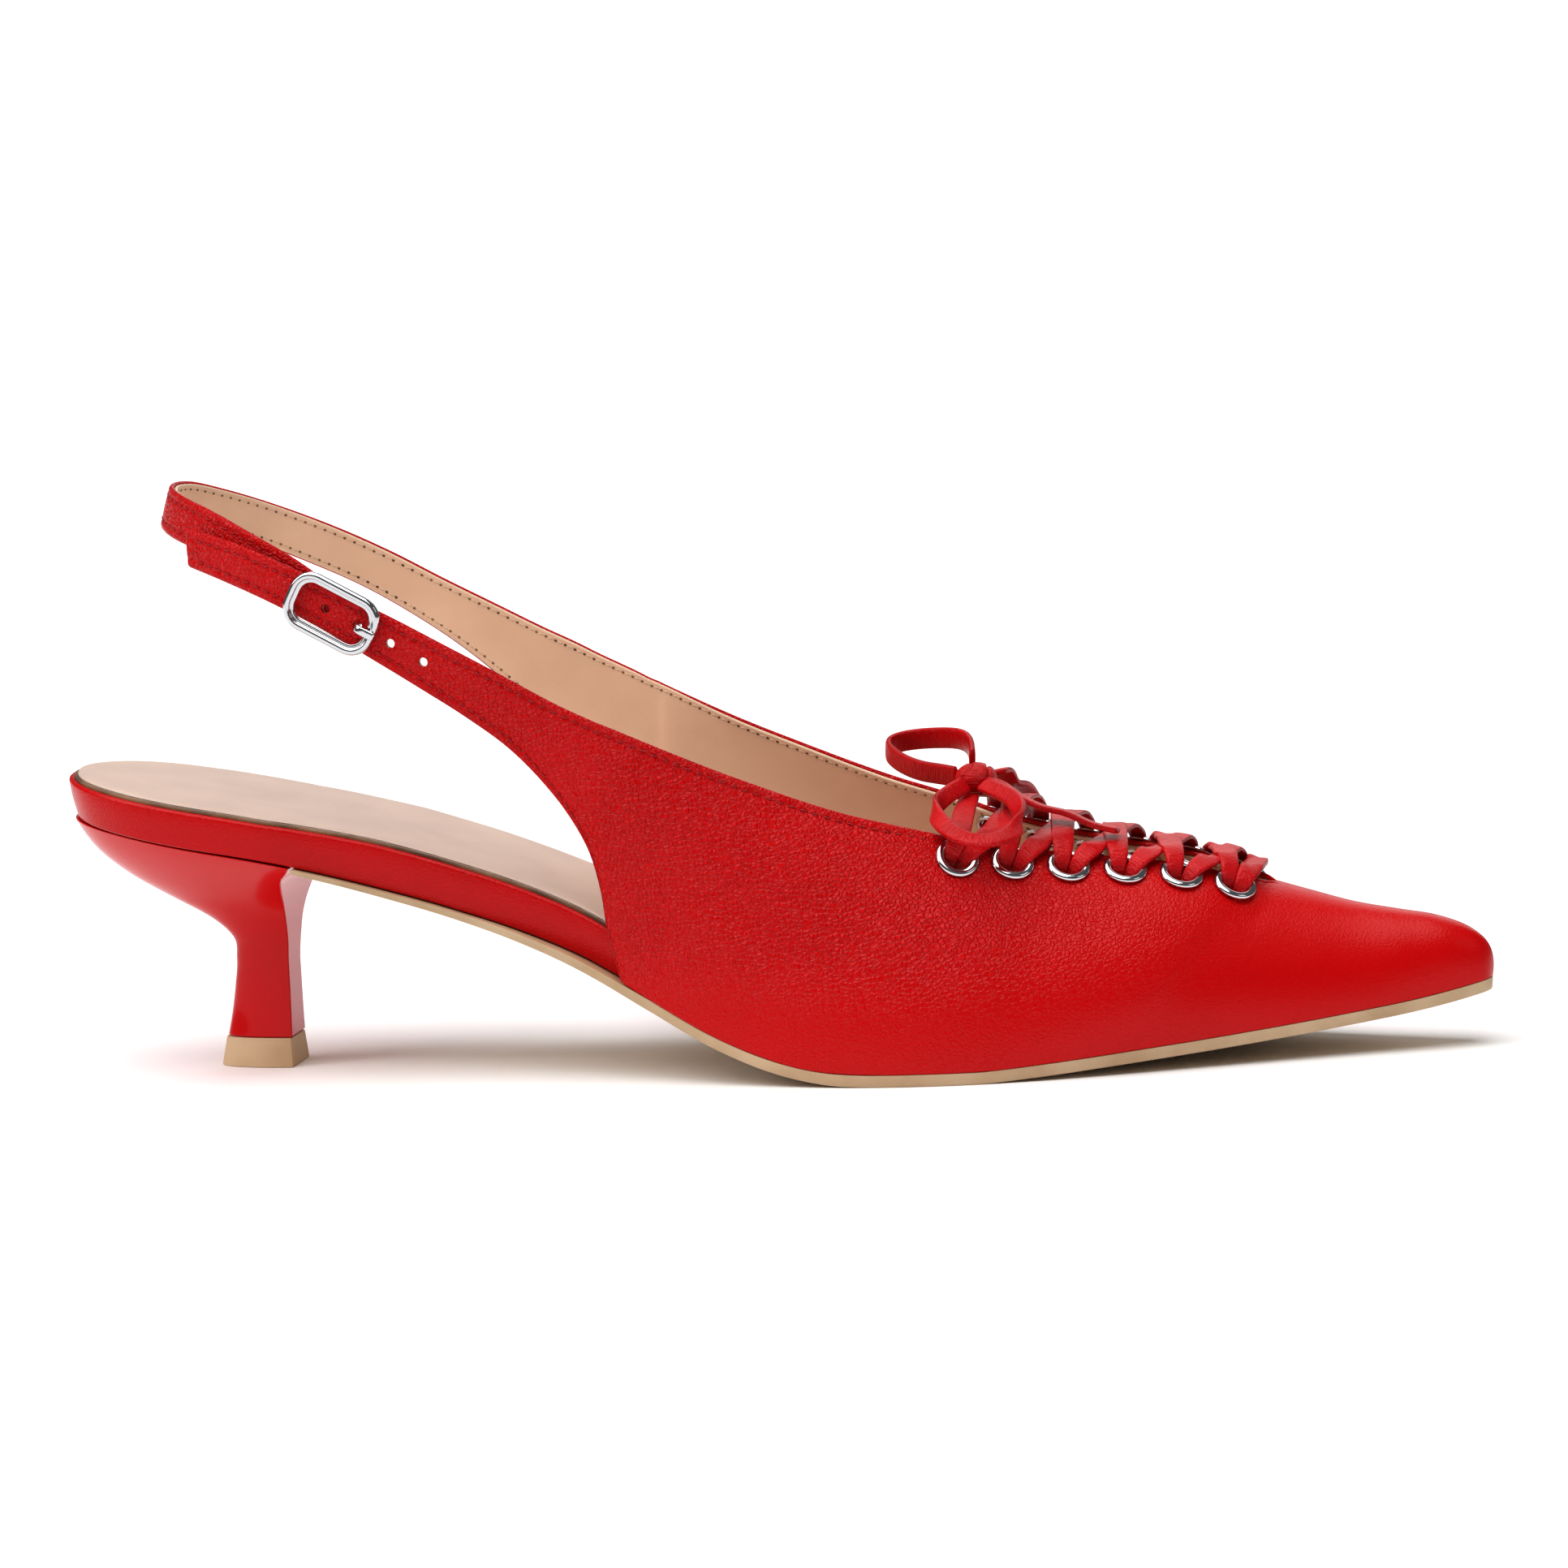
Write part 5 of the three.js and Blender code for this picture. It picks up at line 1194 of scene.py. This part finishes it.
def eyelet_surface(centre, axis, around=48):
    """Profile of (radius, height over the leather) turned about the axis. The ring is half an ellipse
    over the leather, and the clinch a smaller one under the lining."""
    arc = np.linspace(np.pi, 0, 11)
    crown_r = (EYELET_HOLE_R + EYELET_FLANGE_R) / 2 + np.cos(arc) * (EYELET_FLANGE_R - EYELET_HOLE_R) / 2
    crown_h = RING_LIFT + np.sin(arc) ** 0.8 * (GAP + EYELET_FLANGE - RING_LIFT)
    low = np.linspace(0, np.pi, 7)
    clinch_r = CLINCH_R - np.cos(low + np.pi) * CLINCH_HALF
    clinch_h = -WALL - 0.1 - np.sin(low) * CLINCH_HEIGHT
    barrel = EYELET_HOLE_R + EYELET_BARREL
    r = np.concatenate([[EYELET_HOLE_R], crown_r, [barrel, barrel], clinch_r, [EYELET_HOLE_R]])
    h = np.concatenate([[-WALL], crown_h, [RING_LIFT, -WALL - 0.1], clinch_h, [-WALL]])
    angle = np.arange(around)[None] / around * 2 * np.pi
    points = centre + spokes(axis, angle) * r[:, None, None] + axis * h[:, None, None]
    return loops(points, np.arange(len(r))[:, None] * MM / 2, angle)


for side, word in ((-1, "lateral"), (1, "medial")):
    for i in range(EYELETS):
        ring = eyelet_surface(seats[side][0][i], seats[side][1][i])
        mesh_piece(f"ring_{word}_{i + 1}", ring, chrome, f"eyelet_{word}_{i + 1}")

# %% [markdown]
# ## Lacing
# The lace crosses the slit five times each way, with one straight bar at the front. At every eyelet two
# runs go down side by side, folded to half their width, and turn back under the leather. Each run is the
# same ribbon as the bow's, from under one eyelet to under the other.

# %% Lacing
# Height of the arch over half the slit's width, half the distance of two runs in one eyelet, and how far
# a crossing run lies over or under
LACE_ARCH, LACE_SPREAD, LACE_CROSS = 0.24, 1.15, 0.68
LACING_STEP, LACING_THICK, LACING_FOLD, FOLDED_THICKER = 0.7, 1.0, 0.5, 0.35
# At an eyelet: heights over the leather and shares of the lace's width, from under it to past the edge
EYELET_HEIGHTS, EYELET_WIDTHS = (-3.4, -0.8, 1.42, 1.55), np.array([0.54, 0.60, 0.84, 1.0])
EYELET_RIM = 1.9             # where the run lies on the ring
RUN_WIDTHS = [1.04, 1.1, 1.12, 1.1, 1.04]
# Between the slit's edges: share of the way, share of the arch, share of the step over or under
OVER = np.array([
    [0.13, 0.55, 0.1], [0.32, 0.90, 0.5], [0.50, 1.0, 1.0], [0.68, 0.90, 0.5], [0.87, 0.55, 0.1],
])
UNDER = np.array([
    [0.13, 0.30, -0.1], [0.32, 0.75, -0.7], [0.50, 0.95, -1.0], [0.68, 1.10, -0.3], [0.87, 0.80, 0.0],
])
BAR = UNDER * [1, 0.9, 0]


def forwards(vector):
    """The vector or its opposite, whichever points towards the toe."""
    return vector * np.sign(vector[0])


def at_eyelet(seat, towards, shift):
    """Four points of a run at its eyelet, its width axis there and the share of its width: below the
    lining, in the hole, over the ring and over the slit's edge, on the straight way to where it goes."""
    centre, normal, edge = seat
    inward = unit(edge - centre)
    offset = forwards(np.cross(inward, normal)) * shift
    out = towards - centre
    out = unit(out - normal * (out @ normal))
    axis = forwards(np.cross(out, normal))
    past = EYELET_EDGE / max(out @ inward, 0.5)
    points = [centre + offset + normal * height + out * reach
              for height, reach in zip(EYELET_HEIGHTS, (0, 0, EYELET_RIM, past))]
    return np.array(points), axis, EYELET_WIDTHS


def lace_run(seat_a, seat_b, shift_a, shift_b, table):
    """A run across the slit: up from one eyelet, over in an arch whose height is a share of the slit's
    half width, and down into the other."""
    a, axis_a, share = at_eyelet(seat_a, seat_b[0], shift_a)
    b, axis_b, _ = at_eyelet(seat_b, seat_a[0], shift_b)
    height = (seat_a[2][2] + seat_b[2][2]) / 2 + LACE_ARCH * abs(seat_a[2][1] - seat_b[2][1]) / 2
    middle = a[-1] + (b[-1] - a[-1]) * table[:, :1]
    middle[:, 2] += (max(height, middle[:, 2].mean()) - middle[:, 2]) * table[:, 1] + LACE_CROSS * table[:, 2]
    level = forwards(unit(np.cross(b[-1] - a[-1], [0, 0, 1.0])))
    axes = np.concatenate([np.repeat([axis_a], 4, 0), np.repeat([level], 5, 0), np.repeat([axis_b], 4, 0)])
    widths = LACE_WIDTH * np.concatenate([share, RUN_WIDTHS, share[::-1]])
    return np.concatenate([a, middle, b[::-1]]), axes, widths


def knot_run(seat, side):
    """The run from a back eyelet up to the underside of the knot."""
    end = KNOT + np.array([-1.0, side * LACE_WIDTH * 0.45, -KNOT_SIZE[2] / 2 - 0.3])
    a, axis, share = at_eyelet(seat, end, -LACE_SPREAD)
    middle = a[-1] + (end - a[-1]) * 0.5 + np.array([0, 0, 0.4])
    axes = np.concatenate([np.repeat([axis], 4, 0), np.repeat([[1.0, 0, 0]], 2, 0)])
    return np.vstack([a, middle, end]), axes, LACE_WIDTH * np.concatenate([share, [1.0, 0.9]])


TURN = ((-1.15, 3.2), (-1.0, 4.1), (0, 4.6), (1.0, 4.1), (1.15, 3.2))     # along the slit, depth


def turn_back(seat):
    """The small U under an eyelet that joins its two runs."""
    centre, normal, edge = seat
    axis = unit(np.cross(unit(edge - centre), normal))
    route = [centre - normal * h + axis * s for s, h in TURN]
    return np.array(route), np.repeat([unit(edge - centre)], 5, 0), np.full(5, LACE_WIDTH * 0.52)


seat_of = {side: [tuple(part[i] for part in seats[side]) for i in range(EYELETS)] for side in (-1, 1)}
runs = [lace_run(seat_of[-1][5], seat_of[1][5], LACE_SPREAD, LACE_SPREAD, BAR)]
for i in range(EYELETS - 1):
    runs.append(lace_run(seat_of[-1][i], seat_of[1][i + 1], LACE_SPREAD, -LACE_SPREAD, UNDER))
    runs.append(lace_run(seat_of[-1][i + 1], seat_of[1][i], -LACE_SPREAD, LACE_SPREAD, OVER))
runs += [knot_run(seat_of[side][0], side) for side in (-1, 1)]
runs += [turn_back(seat) for side in (-1, 1) for seat in seat_of[side]]
ribbons = []
for route, axes, widths in runs:
    path, axes, widths = carried(route, LACING_STEP, axes, widths)
    thick = LACING_THICK * (1 + FOLDED_THICKER * np.clip(1 - widths / LACE_WIDTH, 0, 1))
    ribbons.append(ribbon(softened(path, 3), axes, widths, thick, fold=LACING_FOLD))
mesh_piece("lacing", joined(ribbons), lace, "lace_lattice")

# %% [markdown]
# ## Buckle
# The buckle's frame is a rounded rectangle of chromed wire that lies on the strap. A rounded section is
# carried round it. The prong comes up through a hole of the strap and rests on the front bar. Under the
# buckle a short pad joins the two straps.

# %% Buckle
LAP_LENGTH, LAP_WIDTH, LAP_DEPTH = 10.0, 4.4, 1.6
PRONG_STEP, PRONG_WIDTH, PRONG_THICK = 0.15, 1.5, 0.9


def on_strap(local):
    """Points from the buckle's own frame (along, across, outward) to the shoe."""
    origin, along, across, outward = buckle_place
    return origin + local[..., :1] * along + local[..., 1:2] * across + local[..., 2:] * outward


def rounded_loop(length, width, radius, per_corner=10):
    """Centre line of a rounded rectangle and its outward direction, corner by corner."""
    quarter = np.linspace(0, np.pi / 2, per_corner)
    points, outs = [], []
    for k, (sx, sy) in enumerate(((1, 1), (-1, 1), (-1, -1), (1, -1))):
        a = quarter + k * np.pi / 2
        out = np.stack([np.cos(a), np.sin(a)], -1)
        points.append(np.array([sx * (length / 2 - radius), sy * (width / 2 - radius)]) + out * radius)
        outs.append(out)
    return np.concatenate(points), np.concatenate(outs)


# Section of the wire from its inner to its outer side: share of the half width and of the half depth
WIRE = np.array([
    [-1.00, -0.30], [-0.98, 0.00], [-0.88, 0.12], [-0.60, 0.14], [-0.40, 0.10], [-0.34, 0.22], [-0.28, 0.62],
    [-0.16, 0.86], [0.05, 0.98], [0.35, 1.00], [0.62, 0.90], [0.84, 0.62], [0.97, 0.22], [1.00, -0.20],
    [0.94, -0.64], [0.74, -0.92], [0.40, -1.00], [0.00, -1.00], [-0.40, -1.00], [-0.76, -0.92], [-0.94, -0.64],
])


def buckle_surface():
    """The section of the wire, a raised outer band with a lower ledge inside it, carried round the loop."""
    line, out = rounded_loop(BUCKLE_LENGTH - BUCKLE_WIRE, BUCKLE_WIDTH - BUCKLE_WIRE,
                             BUCKLE_CORNER - BUCKLE_WIRE / 2)
    x, z = WIRE[:, 0] * BUCKLE_WIRE / 2, WIRE[:, 1] * BUCKLE_DEPTH / 2 + GAP * 1.5 + BUCKLE_DEPTH / 2
    xy = line[:, None] + out[:, None] * x[None, :, None]
    local = np.concatenate([xy, np.broadcast_to(z[None, :, None], (*xy.shape[:2], 1))], -1)
    local = np.concatenate([local, local[:1]])
    return loops(on_strap(local), np.arange(len(local))[:, None] * MM, z)


def lap_surface(rows=16, around=32):
    """The pad between the two straps: superellipse loops |x|^5 + |y|^5 = 1, smaller towards both faces."""
    angle = np.arange(around) / around * 2 * np.pi
    x, y = power(np.cos(angle), 0.4) * LAP_LENGTH / 2, power(np.sin(angle), 0.4) * LAP_WIDTH / 2
    level = np.linspace(0, np.pi, rows)
    size = np.sin(level)[:, None] ** 0.25
    z = -WALL * 0.8 - LAP_DEPTH * 0.5 + np.cos(level)[:, None] * LAP_DEPTH * 0.5
    local = np.stack(np.broadcast_arrays(size * x, size * y, z), -1)
    return loops(on_strap(local), z, angle)


mesh_piece("strap_lap", lap_surface(), rand_leather)
mesh_piece("buckle_loop", buckle_surface(), chrome, "buckle_frame")
bar_top = GAP * 1.5 + BUCKLE_DEPTH
prong_route = np.array([[0, 0, -0.6], [0.1, 0, 0.6], [0.5, 0, bar_top - 0.1], [1.4, 0, bar_top + 0.45],
                        [2.7, 0, bar_top + 0.45], [4.0, 0, bar_top + 0.35]]) + [PRONG_HOLE, 0, 0]
path, axes = carried(prong_route, PRONG_STEP, np.repeat([[0, 1.0, 0]], 6, 0))
points, faces, uv = ribbon(path, axes, np.full(len(path), PRONG_WIDTH), np.full(len(path), PRONG_THICK), 20)
mesh_piece("buckle_tongue", (on_strap(points), faces, uv), chrome, "buckle_prong")

# %% [markdown]
# ## Floor and light
# The photograph has a white ground and soft light from above. A pale floor, a faint pale world and one
# wide, soft sun that leans to the heel's side give most of it. Four small lamps add the rest: one
# behind puts a sheen on the toe and the lace, and those in front and at both sides put soft lights on
# the quarter, the heel and the metal.

# %% Floor and light
WORLD_STRENGTH, PICTURE_GAMMA = 0.12, 0.88
SUN_STRENGTH, SUN_WIDTH, SUN_FORWARDS, SUN_TO_HEEL = 3.25, 70, 12, -14      # the last three in degrees
FLOOR_HALF = 40.0
ground = bpy.data.meshes.new("floor")
corners = [(x * FLOOR_HALF, y * FLOOR_HALF, 0) for x, y in ((-1, -1), (1, -1), (1, 1), (-1, 1))]
ground.from_pydata(corners, [], [(0, 1, 2, 3)])
floor = bpy.data.objects.new("floor", ground)
bpy.context.scene.collection.objects.link(floor)
floor_finish, _ = surface("floor_pale", (0.96, 0.96, 0.96), 0.9, Specular_IOR_Level=0.1)
ground.materials.append(floor_finish)
world = bpy.data.worlds.new("studio")
world.use_nodes = True
sky = world.node_tree.nodes["Background"]
sky.inputs["Color"].default_value, sky.inputs["Strength"].default_value = (1, 1, 1, 1), WORLD_STRENGTH
bpy.context.scene.world = world
bpy.context.scene.view_settings.view_transform = "Standard"
bpy.context.scene.view_settings.gamma = PICTURE_GAMMA


sun = bpy.data.lights.new("soft_sun", "SUN")
sun.energy, sun.angle = SUN_STRENGTH, np.radians(SUN_WIDTH)
sun_lamp = bpy.data.objects.new("soft_sun", sun)
sun_lamp.rotation_euler = (np.radians(SUN_FORWARDS), np.radians(SUN_TO_HEEL), 0)
bpy.context.scene.collection.objects.link(sun_lamp)
# Place and target in metres, size of the square, power in watts
LAMPS = {
    "lamp_back": ((0.1, 1.3, 0.76), (0, 0, 0.05), 1.2, 5.0),
    "lamp_key": ((0.25, -0.7, 1.0), (0.02, 0, 0.04), 0.35, 1.0),
    "lamp_left": ((-1.1, -0.5, 0.7), (0, 0, 0.05), 0.5, 3.0),
    "lamp_right": ((1.2, -0.4, 0.8), (0, 0, 0.05), 0.5, 0.8),
}
for name, (place, target, size, power_in_watts) in LAMPS.items():
    lamp = bpy.data.lights.new(name, "AREA")
    lamp.size, lamp.energy = size, power_in_watts
    out = unit(np.array(place) - np.array(target))
    side_way = unit(np.cross([0, 0.01, 1.0], out))
    placed(bpy.data.objects.new(name, lamp), side_way, np.cross(out, side_way), out, place)
print("lamps:", len(LAMPS) + 1)
